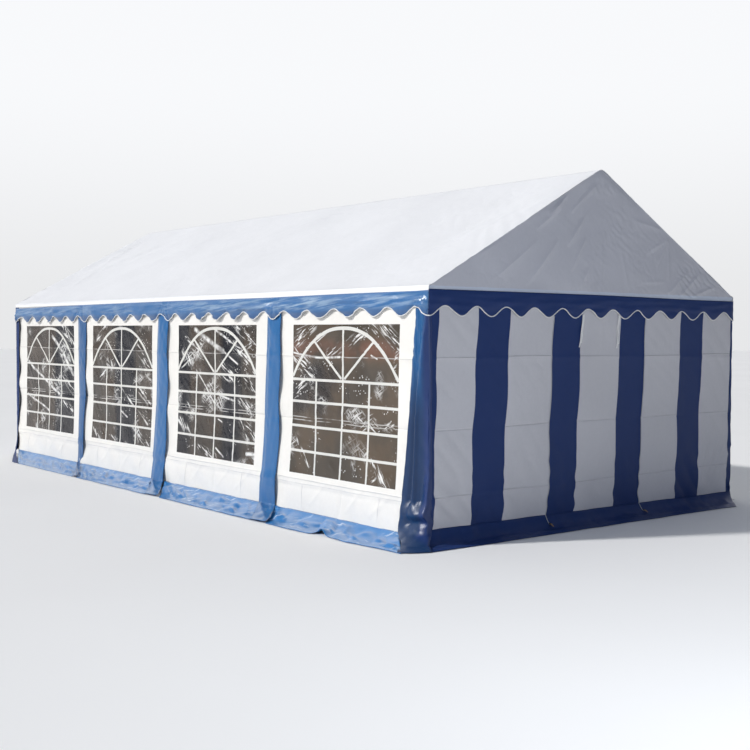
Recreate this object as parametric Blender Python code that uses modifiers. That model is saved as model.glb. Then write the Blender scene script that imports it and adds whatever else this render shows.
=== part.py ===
"""A framed party marquee, 8 m long and 4 m wide, with striped ends and arched windows.

Metres, +Z up. The origin is on the ground at the middle of the plan. X runs along the ridge,
the front is the long side at -Y, and the right end is the gable at +X. The back and the left end
are the front and the right end turned half a turn about Z, so the pieces of a long side are
numbered from its right-hand end, as seen from outside.
"""

import math

import bmesh
import bpy
from mathutils import Matrix, Vector

for old in list(bpy.data.objects):
    bpy.data.objects.remove(old, do_unlink=True)

# The steel frame
BAYS = 4
BAY = 2.0
FRAME_WIDTH = 3.86
EAVE_JOINT = 1.925
RIDGE_JOINT = 2.963
TUBE_RADIUS = 0.019
SLEEVE_RADIUS = 0.022
SLEEVE_REACH = 0.12
TUBE_SIDES = 20
PLATE_SIZE = 0.12
PLATE_THICK = 0.005
PEG_HOLE_RADIUS = 0.007
PEG_HOLE_OFFSET = 0.042
PEG_HOLE_SIDES = 12
SHADE_ANGLE = math.radians(40)

# The covers
CLOTH = 0.004
FILM = 0.002
GAP = 0.0003
HEM_HEIGHT = 1.908
VALANCE_LOW = 0.178
VALANCE_HIGH = 0.108
SCALLOPS_LONG = 24
SCALLOPS_SHORT = 12
SCALLOP_POINTS = 8

# The walls
WALL_BEND = 0.36
WALL_FLARE = 0.11
SIDE_WALL_FOOT = 0.09
END_WALL_FOOT = 0.105
WINDOW_WIDTH = 1.41
WINDOW_SILL = 0.39
WINDOW_HEAD = 1.65
WINDOW_CUT_REACH = 0.1
DOOR_WIDTH = 1.19
DOOR_HEAD = 1.84

# The ground flaps
SIDE_FLAP_REACH = 0.337
END_FLAP_REACH = 0.24
FLAP_FOOT = 0.0045
FLAP_SIDE_SPREAD = 0.062
CORNER_REACH = 0.115
FLAP_SPLIT = 0.008

FRAME_LENGTH = BAYS * BAY
HALF_LENGTH = FRAME_LENGTH / 2
HALF_WIDTH = FRAME_WIDTH / 2
SLOPE = math.atan2(RIDGE_JOINT - EAVE_JOINT, HALF_WIDTH)
WALL_INSET = SLEEVE_RADIUS + GAP
COVER_REACH = WALL_INSET + CLOTH + GAP + CLOTH
RIDGE_TOP = RIDGE_JOINT + (SLEEVE_RADIUS + GAP + CLOTH) / math.cos(SLOPE)
UP_SLOPE = Vector((0, math.cos(SLOPE), math.sin(SLOPE)))

marquee = bpy.data.collections.new("framed_party_marquee")
bpy.context.scene.collection.children.link(marquee)
cutters = bpy.data.collections.new("cutters")
bpy.context.scene.collection.children.link(cutters)


def finish(name, colour, roughness, metallic=0.0, alpha=1.0):
    """A plain material for one kind of piece."""
    material = bpy.data.materials.new(name)
    material.use_nodes = True
    shader = material.node_tree.nodes["Principled BSDF"]
    shader.inputs["Base Color"].default_value = (*colour, 1.0)
    shader.inputs["Roughness"].default_value = roughness
    shader.inputs["Metallic"].default_value = metallic
    shader.inputs["Alpha"].default_value = alpha
    material.diffuse_color = (*colour, alpha)
    return material


STEEL = finish("galvanised_steel", (0.56, 0.58, 0.60), 0.42, metallic=0.9)
ROOF_WHITE = finish("roof_white", (0.80, 0.81, 0.84), 0.55)
WALL_WHITE = finish("wall_white", (0.88, 0.88, 0.87), 0.45)
BLUE = finish("trim_blue", (0.04, 0.15, 0.42), 0.30)
CLEAR = finish("clear_film", (0.35, 0.33, 0.31), 0.12, alpha=0.45)


def make_object(name, body, material=None, home=marquee):
    """An object from a bmesh, which it frees."""
    mesh = bpy.data.meshes.new(name)
    body.normal_update()
    body.to_mesh(mesh)
    body.free()
    made = bpy.data.objects.new(name, mesh)
    if material:
        mesh.materials.append(material)
    home.objects.link(made)
    return made


def rod(start, end, radius, sides=TUBE_SIDES):
    """A round bar from one point to another, as a piece to be fused or named later."""
    start = Vector(start)
    end = Vector(end)
    run = end - start
    body = bmesh.new()
    bmesh.ops.create_cone(
        body, cap_ends=True, segments=sides, radius1=radius, radius2=radius, depth=run.length
    )
    stand = Matrix.Translation((start + end) / 2) @ run.to_track_quat("Z", "Y").to_matrix().to_4x4()
    bmesh.ops.transform(body, matrix=stand, verts=body.verts)
    return make_object("rod", body)


def block(low, high, home=marquee):
    """A box between two corners, as a piece to be fused or to cut with."""
    low = Vector(low)
    high = Vector(high)
    body = bmesh.new()
    bmesh.ops.create_cube(body, size=1.0)
    size = Matrix.Diagonal((*(high - low), 1.0))
    bmesh.ops.transform(body, matrix=Matrix.Translation((low + high) / 2) @ size, verts=body.verts)
    return make_object("block", body, home=home)


def fused(pieces, holes=()):
    """One mesh from overlapping pieces, less the holes. The pieces are used up."""
    base = pieces[0]
    for operation, others in (("UNION", pieces[1:]), ("DIFFERENCE", holes)):
        for other in others:
            step = base.modifiers.new(operation.lower(), "BOOLEAN")
            step.operation = operation
            step.object = other
    bpy.context.view_layer.update()
    mesh = bpy.data.meshes.new_from_object(base.evaluated_get(bpy.context.evaluated_depsgraph_get()))
    for piece in (*pieces, *holes):
        bpy.data.objects.remove(piece)
    return mesh


def smooth_steel(mesh):
    """Round steel, shaded smooth with its edges kept."""
    mesh.materials.clear()
    mesh.materials.append(STEEL)
    mesh.shade_smooth()
    mesh.set_sharp_from_angle(angle=SHADE_ANGLE)
    return mesh


def place(name, mesh, at=(0, 0, 0), turned=0.0):
    """A named sub-part that shows this mesh."""
    part = bpy.data.objects.new(name, mesh)
    part.location = at
    part.rotation_euler = (0, 0, turned)
    marquee.objects.link(part)


def sheet(name, points, faces, material, thick=CLOTH):
    """A sheet of cloth from the faces of its outer side, thickened inwards."""
    body = bmesh.new()
    corners = [body.verts.new(point) for point in points]
    for face in faces:
        body.faces.new([corners[index] for index in face])
    made = make_object(name, body, material)
    solid = made.modifiers.new("thickness", "SOLIDIFY")
    solid.thickness = thick
    solid.offset = -1
    solid.use_even_offset = True
    return made


def run_of(name, profile, start, end, material):
    """A long-side sheet: a profile of (y, z) points, from the top down, carried along X."""
    points = [(x, y, z) for x in (start, end) for y, z in profile]
    count = len(profile)
    faces = [(i, i + 1, count + i + 1, count + i) for i in range(count - 1)]
    return sheet(name, points, faces, material)


def flat_end(name, outline, x, material):
    """An end sheet whose outer side lies at x, from an outline of (y, z) points, anticlockwise
    as seen from outside the right end."""
    points = [(x, y, z) for y, z in outline]
    return sheet(name, points, [range(len(points))], material)


def with_twin(front, twin_name):
    """The half-turned copy of a sub-part, on the other side of the marquee."""
    twin = front.copy()
    twin.name = twin_name
    turn = Matrix.Rotation(math.pi, 4, "Z")
    twin.matrix_world = turn @ front.matrix_world
    marquee.objects.link(twin)


def scallops(length, count, top):
    """The outline of a valance, as (along, z) points, anticlockwise: its wavy lower edge from
    start to end, low at both ends, then its straight top edge."""
    steps = count * SCALLOP_POINTS
    outline = []
    for step in range(steps + 1):
        share = 0.5 + 0.5 * math.cos(2 * math.pi * step / SCALLOP_POINTS)
        drop = VALANCE_HIGH + (VALANCE_LOW - VALANCE_HIGH) * share
        outline.append((length * (step / steps - 0.5), HEM_HEIGHT - drop))
    return outline + [(length / 2, top), (-length / 2, top)]


def post_places():
    """The places of the frame's posts along X, from the right end."""
    return [HALF_LENGTH - BAY * index for index in range(BAYS + 1)]


def leg_mesh():
    """A leg tube on its foot plate, which has two holes for ground pegs."""
    tube_top = EAVE_JOINT - SLEEVE_REACH - GAP
    half = PLATE_SIZE / 2
    plate = block((-half, -half, 0), (half, half, PLATE_THICK))
    tube = rod((0, 0, PLATE_THICK / 2), (0, 0, tube_top), TUBE_RADIUS)
    holes = []
    for side in (-1, 1):
        at = side * PEG_HOLE_OFFSET
        below = (at, at, -PLATE_THICK)
        above = (at, at, 2 * PLATE_THICK)
        holes.append(rod(below, above, PEG_HOLE_RADIUS, PEG_HOLE_SIDES))
    return smooth_steel(fused([plate, tube], holes))


def rail_mesh(height, depth, arm_ways, end_ways):
    """A rail along X at one depth, with a sleeve and its arms at each post. The arm ways are
    directions that every post has, and the end ways are those of the two end posts alone."""
    reach = HALF_LENGTH + SLEEVE_RADIUS
    pieces = [rod((-HALF_LENGTH, depth, height), (HALF_LENGTH, depth, height), TUBE_RADIUS)]
    for x in post_places():
        joint = Vector((x, depth, height))
        left = max(x - SLEEVE_REACH, -reach)
        right = min(x + SLEEVE_REACH, reach)
        pieces.append(rod((left, depth, height), (right, depth, height), SLEEVE_RADIUS))
        is_end = abs(x) == HALF_LENGTH
        for way in arm_ways + (end_ways if is_end else []):
            pieces.append(rod(joint, joint + Vector(way) * SLEEVE_REACH, SLEEVE_RADIUS))
    return smooth_steel(fused(pieces))


def frame_parts():
    """Legs, eave rails, ridge rail, rafters and the tie bars across the two ends."""
    leg = leg_mesh()
    eave = rail_mesh(EAVE_JOINT, -HALF_WIDTH, [(0, 0, -1), tuple(UP_SLOPE)], [(0, 1, 0)])
    down_front = Vector((0, -UP_SLOPE.y, -UP_SLOPE.z))
    down_back = Vector((0, UP_SLOPE.y, -UP_SLOPE.z))
    ridge = rail_mesh(RIDGE_JOINT, 0, [tuple(down_front), tuple(down_back)], [])
    clear = SLEEVE_REACH + GAP
    rafter_foot = Vector((0, -HALF_WIDTH, EAVE_JOINT)) + UP_SLOPE * clear
    rafter_head = Vector((0, 0, RIDGE_JOINT)) - UP_SLOPE * clear
    rafter = smooth_steel(fused([rod(rafter_foot, rafter_head, TUBE_RADIUS)]))
    tie_half = HALF_WIDTH - clear
    tie = smooth_steel(fused([rod((0, -tie_half, 0), (0, tie_half, 0), TUBE_RADIUS)]))

    place("ridge_rail", ridge)
    place("right_end_tie_bar", tie, (HALF_LENGTH, 0, EAVE_JOINT))
    place("left_end_tie_bar", tie, (-HALF_LENGTH, 0, EAVE_JOINT))
    for side, turned in (("front", 0.0), ("back", math.pi)):
        sign = -1 if side == "front" else 1
        place(f"{side}_eave_rail", eave, turned=turned)
        for number, x in enumerate(post_places(), 1):
            place(f"{side}_leg_{number}", leg, (-sign * x, sign * HALF_WIDTH, 0), turned)
            place(f"{side}_rafter_{number}", rafter, (-sign * x, 0, 0), turned)


def roof_parts():
    """The two slopes, each turned down over its eave, the end triangles and the valances."""
    edge = HALF_WIDTH + COVER_REACH
    long_half = HALF_LENGTH + COVER_REACH
    knee = RIDGE_TOP - edge * math.tan(SLOPE)
    seam = GAP / 2 + CLOTH * math.sin(SLOPE)
    seam_top = RIDGE_TOP - seam * math.tan(SLOPE)
    slope_profile = [(-seam, seam_top), (-edge, knee), (-edge, HEM_HEIGHT)]
    slope = run_of("front_roof_slope", slope_profile, -long_half, long_half, ROOF_WHITE)
    with_twin(slope, "back_roof_slope")

    inner_edge = edge - CLOTH - GAP
    under = (CLOTH + GAP) / math.cos(SLOPE)
    top = RIDGE_TOP - under
    shoulder = top - inner_edge * math.tan(SLOPE)
    triangle = [
        (-inner_edge, HEM_HEIGHT),
        (inner_edge, HEM_HEIGHT),
        (inner_edge, shoulder),
        (0, top),
        (-inner_edge, shoulder),
    ]
    gable = flat_end("right_gable_cloth", triangle, long_half, ROOF_WHITE)
    with_twin(gable, "left_gable_cloth")

    long_outline = scallops(2 * long_half, SCALLOPS_LONG, HEM_HEIGHT - GAP)
    long_points = [(x, -edge, z) for x, z in long_outline]
    valance = sheet("front_valance", long_points, [range(len(long_points))], BLUE)
    with_twin(valance, "back_valance")
    short_outline = scallops(2 * inner_edge, SCALLOPS_SHORT, HEM_HEIGHT - GAP)
    valance = flat_end("right_valance", short_outline, long_half, BLUE)
    with_twin(valance, "left_valance")


def window_walls():
    """The panels of the long sides, each with one window cut through and closed by clear film."""
    wall_face = HALF_WIDTH + WALL_INSET + CLOTH
    profile = [
        (-wall_face, EAVE_JOINT),
        (-wall_face, WALL_BEND),
        (-wall_face - WALL_FLARE, SIDE_WALL_FOOT),
    ]
    end_edge = HALF_LENGTH + WALL_INSET - GAP
    film_face = wall_face - (CLOTH - FILM) / 2
    for bay in range(BAYS):
        number = bay + 1
        right = HALF_LENGTH - BAY * bay
        middle = right - BAY / 2
        start = -end_edge if number == BAYS else right - BAY + GAP / 2
        end = end_edge if bay == 0 else right - GAP / 2
        wall = run_of(f"front_window_wall_{number}", profile, start, end, WALL_WHITE)
        half = WINDOW_WIDTH / 2
        cutter = block(
            (middle - half, -wall_face - WINDOW_CUT_REACH, WINDOW_SILL),
            (middle + half, -wall_face + WINDOW_CUT_REACH, WINDOW_HEAD),
            home=cutters,
        )
        cutter.name = f"window_cutter_{number}"
        cutter.hide_render = True
        cutter.display_type = "WIRE"
        cut = wall.modifiers.new("window", "BOOLEAN")
        cut.operation = "DIFFERENCE"
        cut.object = cutter
        bpy.context.view_layer.update()
        seen = wall.evaluated_get(bpy.context.evaluated_depsgraph_get())
        place(f"back_window_wall_{number}", bpy.data.meshes.new_from_object(seen), turned=math.pi)

        side = half - GAP
        sill = WINDOW_SILL + GAP
        head = WINDOW_HEAD - GAP
        outline = [(-side, sill), (side, sill), (side, head), (-side, head)]
        points = [(middle + x, -film_face, z) for x, z in outline]
        film = sheet(f"front_window_film_{number}", points, [range(4)], CLEAR, FILM)
        with_twin(film, f"back_window_film_{number}")


def end_walls():
    """The striped end walls, which have a zipped door cut out of their middle, and the doors."""
    face = HALF_LENGTH + WALL_INSET + CLOTH
    edge = HALF_WIDTH + WALL_INSET + CLOTH
    flare = WALL_FLARE * (WALL_BEND - END_WALL_FOOT) / (WALL_BEND - SIDE_WALL_FOOT)
    jamb = DOOR_WIDTH / 2
    outline = [
        (jamb, END_WALL_FOOT),
        (edge + flare, END_WALL_FOOT),
        (edge, WALL_BEND),
        (edge, EAVE_JOINT),
        (-edge, EAVE_JOINT),
        (-edge, WALL_BEND),
        (-edge - flare, END_WALL_FOOT),
        (-jamb, END_WALL_FOOT),
        (-jamb, DOOR_HEAD),
        (jamb, DOOR_HEAD),
    ]
    wall = flat_end("right_end_wall", outline, face, WALL_WHITE)
    with_twin(wall, "left_end_wall")
    side = jamb - GAP
    head = DOOR_HEAD - GAP
    outline = [(-side, END_WALL_FOOT), (side, END_WALL_FOOT), (side, head), (-side, head)]
    door = flat_end("right_end_door", outline, face, WALL_WHITE)
    with_twin(door, "left_end_door")


def ground_flaps():
    """The flaps that run from the foot of each wall out over the ground."""
    end_face = HALF_LENGTH + WALL_INSET + CLOTH
    side_face = HALF_WIDTH + WALL_INSET + CLOTH
    wall_foot = -side_face - WALL_FLARE
    side_out = -HALF_WIDTH - COVER_REACH - SIDE_FLAP_REACH
    end_out = HALF_LENGTH + COVER_REACH + END_FLAP_REACH
    side_foot = end_face + FLAP_SIDE_SPREAD
    corner = -side_face - CORNER_REACH
    top = SIDE_WALL_FOOT - GAP
    points = [
        (-end_face, wall_foot, top),
        (-side_foot, side_out, FLAP_FOOT),
        (side_foot, side_out, FLAP_FOOT),
        (end_face, wall_foot, top),
        (end_out, corner, FLAP_FOOT),
        (-end_out, corner, FLAP_FOOT),
    ]
    faces = [(0, 1, 2, 3), (3, 2, 4), (0, 5, 1)]
    flap = sheet("front_ground_flap", points, faces, BLUE)
    with_twin(flap, "back_ground_flap")

    side = -wall_foot - FLAP_SPLIT
    side_end = -corner - FLAP_SPLIT
    top = END_WALL_FOOT - GAP
    points = [
        (end_face, -side, top),
        (end_out, -side_end, FLAP_FOOT),
        (end_out, side_end, FLAP_FOOT),
        (end_face, side, top),
    ]
    flap = sheet("right_ground_flap", points, [range(4)], BLUE)
    with_twin(flap, "left_ground_flap")


frame_parts()
roof_parts()
window_walls()
end_walls()
ground_flaps()
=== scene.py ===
"""The looks of a framed party marquee: steel frame, coated covers, window walls, striped ends."""

import math

import bmesh
import bpy
import numpy as np
from mathutils import Matrix, Vector


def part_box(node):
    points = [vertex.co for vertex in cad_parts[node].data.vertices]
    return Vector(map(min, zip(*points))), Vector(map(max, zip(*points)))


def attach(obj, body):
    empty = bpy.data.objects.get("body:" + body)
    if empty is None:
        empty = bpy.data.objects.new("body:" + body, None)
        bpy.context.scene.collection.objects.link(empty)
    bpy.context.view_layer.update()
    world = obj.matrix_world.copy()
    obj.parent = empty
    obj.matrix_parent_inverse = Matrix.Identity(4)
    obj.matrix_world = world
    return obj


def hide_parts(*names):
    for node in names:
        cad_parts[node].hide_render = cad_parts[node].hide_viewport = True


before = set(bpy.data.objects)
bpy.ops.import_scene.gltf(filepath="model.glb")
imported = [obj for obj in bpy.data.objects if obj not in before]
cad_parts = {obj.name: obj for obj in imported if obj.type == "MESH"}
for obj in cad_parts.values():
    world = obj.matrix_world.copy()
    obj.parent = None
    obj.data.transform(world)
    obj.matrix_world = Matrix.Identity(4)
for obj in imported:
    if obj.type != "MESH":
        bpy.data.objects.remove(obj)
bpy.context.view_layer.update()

# The camera stands off the front right corner at eye height, and looks along the front and the
# right end together. Its view is almost level.
CAMERA_PLACE = (10.267, -7.518, 1.599)
CAMERA_TURN = math.radians(51.008)
CAMERA_DROP = math.radians(2.151)
CAMERA_ROLL = math.radians(0.238)
CAMERA_LENS = 53.84


def add_object(name, data):
    """A new object in the scene from its mesh, curve, camera or light."""
    made = bpy.data.objects.new(name, data)
    bpy.context.scene.collection.objects.link(made)
    return made


lens = bpy.data.cameras.new("camera")
lens.lens = CAMERA_LENS
camera = add_object("camera", lens)
camera.matrix_world = (
    Matrix.Translation(CAMERA_PLACE)
    @ Matrix.Rotation(CAMERA_TURN, 4, "Z")
    @ Matrix.Rotation(math.pi / 2 - CAMERA_DROP, 4, "X")
    @ Matrix.Rotation(CAMERA_ROLL, 4, "Z")
)
bpy.context.scene.camera = camera


# The steel frame: ten legs on foot plates, five pairs of rafters, three long rails and the tie
# bars of the ends, all of galvanised tube pushed into sleeves. The zinc is dull, with a spangle.
class Flow:
    """A value that runs from node to node in a material. Arithmetic on flows adds Math nodes."""

    def __init__(self, tree, socket=None):
        self.tree = tree
        self.socket = socket

    def node(self, kind, settings=(), inputs=(), output=0):
        """One output of a new node. Its settings are set first, then its sockets by name or place."""
        made = self.tree.nodes.new(kind)
        for name, value in dict(settings).items():
            setattr(made, name, value)
        for name, value in dict(inputs).items():
            socket = made.inputs[name]
            if isinstance(value, Flow):
                self.tree.links.new(value.socket, socket)
            else:
                socket.default_value = value
        return Flow(self.tree, made.outputs[output])

    def maths(self, operation, *others):
        inputs = enumerate((self, *others))
        return self.node("ShaderNodeMath", {"operation": operation}, inputs)

    def __add__(self, other):
        return self.maths("ADD", other)

    def __sub__(self, other):
        return self.maths("SUBTRACT", other)

    def __rsub__(self, other):
        return self * -1 + other

    def __mul__(self, other):
        return self.maths("MULTIPLY", other)

    def __abs__(self):
        return self.maths("ABSOLUTE")

    __radd__ = __add__
    __rmul__ = __mul__

    def rise(self, low, high):
        """0 below low, 1 above high and a smooth rise between them."""
        settings = {"interpolation_type": "SMOOTHSTEP"}
        return self.node("ShaderNodeMapRange", settings, {"Value": self, 1: low, 2: high})

    def mix(self, first, second):
        """The first colour where this mask is 0, and the second where it is 1."""
        return self.node("ShaderNodeMix", {"data_type": "RGBA"}, {0: self, 6: first, 7: second}, 2)

    def noise(self, scale, detail=3.0, roughness=0.5):
        """Soft noise from 0 to 1 at this place, with so many patches a metre."""
        sockets = {"Vector": self, "Scale": scale, "Detail": detail, "Roughness": roughness}
        return self.node("ShaderNodeTexNoise", {}, sockets)

    def stretch(self, *factors):
        """This place with each of its axes scaled."""
        return self.node("ShaderNodeVectorMath", {"operation": "MULTIPLY"}, {0: self, 1: factors})

    def axis(self, name):
        """One coordinate of this place."""
        return self.node("ShaderNodeSeparateXYZ", {}, {0: self}, "XYZ".index(name))

    def bump(self, depth, under=None):
        """The normal of a surface with this height on it, so many metres deep."""
        sockets = {"Height": self, "Distance": depth}
        if under is not None:
            sockets["Normal"] = under
        return self.node("ShaderNodeBump", {}, sockets)


def start_material(name, **sockets):
    """A new material, its shader with these fixed values, and the place on the object."""
    material = bpy.data.materials.new(name)
    material.use_nodes = True
    shader = material.node_tree.nodes["Principled BSDF"]
    for key, value in sockets.items():
        shader.inputs[key.replace("_", " ")].default_value = value
    return material, shader, Flow(material.node_tree).node("ShaderNodeTexCoord", {}, {}, 3)


def feed(shader, **flows):
    """Leads flows into the shader's sockets."""
    for key, flow in flows.items():
        flow.tree.links.new(flow.socket, shader.inputs[key.replace("_", " ")])


ZINC_LIGHT = (0.60, 0.61, 0.63, 1)
ZINC_DARK = (0.42, 0.44, 0.46, 1)
SPANGLES_A_METRE = 90
ZINC_GRAIN = 0.0002

zinc, shader, place = start_material("galvanised_steel", Metallic=0.9)
cells = {"Vector": place, "Scale": SPANGLES_A_METRE}
spangle = place.node("ShaderNodeTexVoronoi", {}, cells, 1).axis("X")
tone = 0.5 * spangle + 0.5 * place.noise(3)
grain = place.noise(240).bump(ZINC_GRAIN)
feed(shader, Base_Color=tone.mix(ZINC_DARK, ZINC_LIGHT), Roughness=0.34 + 0.2 * tone, Normal=grain)

for name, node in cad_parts.items():
    if any(word in name for word in ("_rail", "_leg_", "_rafter_", "_tie_bar")):
        node.data.materials.clear()
        node.data.materials.append(zinc)

leg_low, leg_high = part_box("front_leg_1")
POST_X = (leg_low.x + leg_high.x) / 2
POST_Y = -(leg_low.y + leg_high.y) / 2
BAYS = 4
BAY = 2 * POST_X / BAYS


def post_x(number):
    """The place of a post along the side. The first is at the right end."""
    return POST_X - BAY * number


def bay_middle(bay):
    """The middle of a bay, halfway between its two posts."""
    return post_x(bay) - BAY / 2


# The roof cover is one sheet of white coated cloth over both slopes. It lies on the rafters and
# rails, sags a little between them, and is turned down over each eave as a hem.
def grid(surface, across, down, keep=None):
    """Points and faces of a sheet. The surface gives x, y and z for arrays of the two
    coordinates, and its outer side is seen with across running to the right and down running
    downwards. keep picks faces by the coordinates of their middles."""
    a, d = np.meshgrid(across, down, indexing="ij")
    points = np.stack(np.broadcast_arrays(*surface(a, d)), axis=-1).reshape(-1, 3)
    index = np.arange(a.size).reshape(a.shape)
    faces = np.stack([index[:-1, 1:], index[1:, 1:], index[1:, :-1], index[:-1, :-1]], axis=-1)
    if keep is None:
        return points, faces.reshape(-1, 4)
    return points, faces[keep((a[:-1, :-1] + a[1:, 1:]) / 2, (d[:-1, :-1] + d[1:, 1:]) / 2)]


def add_piece(name, data, material):
    """A piece of the marquee from its mesh or curve."""
    data.materials.append(material)
    made = add_object(name, data)
    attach(made, "root")
    return made


def cloth(name, material, slot, *grids, over=(), turned=False, thick=0.0):
    """A piece of one or more grids, laid over the solids that it stands for. turned puts it on
    the opposite side of the marquee."""
    points = []
    faces = []
    for some_points, some_faces in grids:
        used, corners = np.unique(some_faces.ravel(), return_inverse=True)
        faces += (corners.reshape(-1, 4) + len(points)).tolist()
        points += some_points[used].tolist()
    if turned:
        points = [(-x, -y, z) for x, y, z in points]
    mesh = bpy.data.meshes.new(name)
    mesh.from_pydata(points, [], faces)
    mesh.shade_smooth()
    made = add_piece(name, mesh, material)
    if over:
        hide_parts(*over)
    if thick:
        solid = made.modifiers.new("thickness", "SOLIDIFY")
        solid.thickness = thick
        solid.offset = -1
    return made


def ripples(a, b, seed, length, lean=0.0, spread=0.4, count=9):
    """Soft folds about one unit high and a length apart, whose crests run across the lean."""
    draw = np.random.default_rng(seed)
    total = np.zeros(np.broadcast(a, b).shape)
    for _ in range(count):
        angle = lean + draw.uniform(-spread, spread)
        pitch = length * draw.uniform(0.6, 1.6)
        phase = draw.uniform(0, 2 * math.pi)
        total += np.sin(2 * math.pi * (a * math.cos(angle) + b * math.sin(angle)) / pitch + phase)
    return total / math.sqrt(count)


def patches(a, b, seed, size):
    """Soft random patches of this size, from 0 to 1."""
    table = np.random.default_rng(seed).random((64, 64))
    column = np.floor(a / size).astype(int)
    row = np.floor(b / size).astype(int)
    u = a / size - column
    v = b / size - row
    u = u * u * (3 - 2 * u)
    v = v * v * (3 - 2 * v)
    corner = [[table[(column + i) % 64, (row + j) % 64] for i in (0, 1)] for j in (0, 1)]
    near = corner[0][0] * (1 - u) + corner[0][1] * u
    far = corner[1][0] * (1 - u) + corner[1][1] * u
    return near * (1 - v) + far * v


def crease(a, b, start, end, width):
    """A sharp fold along a line, one unit high, which fades to both sides and at its ends."""
    run_a = end[0] - start[0]
    run_b = end[1] - start[1]
    length = math.hypot(run_a, run_b)
    along = ((a - start[0]) * run_a + (b - start[1]) * run_b) / length**2
    off = ((a - start[0]) * run_b - (b - start[1]) * run_a) / length
    return np.sqrt(np.clip(4 * along * (1 - along), 0, 1)) * np.exp(-np.abs(off) / width)


def rise(value, low, high):
    """0 below low, 1 above high and a smooth rise between them."""
    share = np.clip((value - low) / (high - low), 0, 1)
    return share * share * (3 - 2 * share)


def coated_cloth(name, colour, roughness, crinkle, crinkles, coat=0.1, gloss=0.5, blur=0.12, folds=()):
    """Woven cloth under a plastic coat. Crinkles of this depth, so many a metre, are pressed into
    it, and sharp folds run across it at the given heights, each with a line of painted shade."""
    material, shader, place = start_material(
        name, Coat_Weight=coat, Coat_Roughness=blur, Specular_IOR_Level=gloss
    )
    light, dark, fold_shade = [(*[min(1, part * share) for part in colour], 1) for share in CLOTH_TONES]
    tone = 0.7 * place.noise(1.6, 4) + 0.3 * place.noise(30, 2)
    base = tone.rise(0.3, 0.7).mix(dark, light)
    across = (place.axis("X") * THREADS + place.axis("Y") * THREADS).maths("SINE")
    upright = (place.axis("Z") * THREADS).maths("SINE")
    normal = (across + upright).bump(THREAD_DEPTH)
    wavering = place.axis("Z") + 2 * HALF_WAVER * place.noise(0.9, 1)
    for number, height in enumerate(folds):
        off = abs(wavering - (height + HALF_WAVER)) * (1 / FOLD_WIDTH)
        normal = (1 - off).rise(0, 1).bump(FOLD_DEPTH * (-1) ** number, normal)
        # Each fold gets a thin line of painted shade, broken up by noise.
        line = (1 - off * 2.2).rise(0, 1) * place.noise(3, 3).rise(0.35, 0.6)
        base = (0.6 * line).mix(base, fold_shade)
    where = place.noise(2.3, 2).rise(0.40, 0.64)
    folded = abs(place.noise(crinkles, 3, 0.4) - 0.5) * (0.25 + where)
    feed(
        shader,
        Base_Color=base,
        Roughness=roughness - 0.05 + 0.1 * place.noise(8),
        Normal=folded.bump(crinkle, normal),
    )
    return material


def tint(material, mask, colour):
    """Lays a colour over a finished cloth where a mask of its places is 1."""
    shader = material.node_tree.nodes["Principled BSDF"]
    plain = Flow(material.node_tree, shader.inputs["Base Color"].links[0].from_socket)
    feed(shader, Base_Color=mask(plain.node("ShaderNodeTexCoord", {}, {}, 3)).mix(plain, colour))


# Shares of a cloth's colour: its lighter and darker random tone, and the painted shade on folds.
CLOTH_TONES = (1.02, 0.96, 0.70)
THREADS = 2 * math.pi / 0.004
THREAD_DEPTH = 0.00006
HALF_WAVER = 0.015
FOLD_WIDTH = 0.010
FOLD_DEPTH = 0.003
ROOF_WHITE = (0.80, 0.81, 0.84)
# The gables' cloth is the roof's white painted darker and cooler, as painted shade.
GABLE_SHADE_WHITE = (0.55, 0.56, 0.615)
roof_cloth = coated_cloth("roof_cloth", ROOF_WHITE, 0.5, 0.012, 5)
gable_cloth = coated_cloth("gable_cloth", GABLE_SHADE_WHITE, 0.45, 0.012, 6)

roof_low, roof_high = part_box("front_roof_slope")
COVER_X = roof_high.x
COVER_Y = -roof_low.y
HEM_Z = roof_low.z
RIDGE_Z = roof_high.z
HEM = 0.03
HEM_BAND = 0.038
HEM_TAPER = 0.0022
HEM_HIGHLIGHT_WHITE = (0.95, 0.95, 0.94, 1)
GABLE_HEM_SHADE = (0.58, 0.64, 0.75, 1)
EAVE_ROUND = 0.02
RIDGE_ROUND = 0.025
ROOF_SAG = 0.015
ROOF_WAVE = 0.004
ROOF_WRINKLE = 0.006
END_WRINKLE = 0.010
END_SHARES = {-1: 1.0, 1: 0.45}
HEM_WRINKLE = 0.003
FAN_CREASE = 0.011
FAN_REACH = (0.8, 1.25, 1.7)
LONE_CREASE = 0.012
ROOF_CREASE_WIDTH = 0.026
ROOF_CREASES = (
    ((0.55, -0.06), (-0.1, -0.75)),
    ((0.75, -0.10), (0.25, -0.55)),
    ((-2.6, -0.3), (-3.1, -0.9)),
    ((-2.9, -0.5), (-3.4, -1.3)),
    ((-1.9, -0.9), (-2.5, -1.6)),
    ((2.2, -0.05), (1.9, -0.5)),
    ((-1.5, -0.5), (-2.2, -1.3)),
    ((-2.2, -0.4), (-2.9, -1.1)),
    ((3.0, 0.05), (2.5, 0.8)),
    ((-0.5, 0.1), (-0.2, 0.9)),
)
ROOF_STEP = 0.028
PITCH = (RIDGE_Z - HEM_Z - HEM) / COVER_Y


def hem_highlight_band(place):
    """1 on a band along the lower edge of the cloth, at the height of the hem."""
    edge = HEM_Z + HEM_BAND + place.axis("X") * HEM_TAPER + 0.012 * (place.noise(6, 2) - 0.5)
    return 1 - (place.axis("Z") - edge).rise(-0.004, 0.004)


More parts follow.
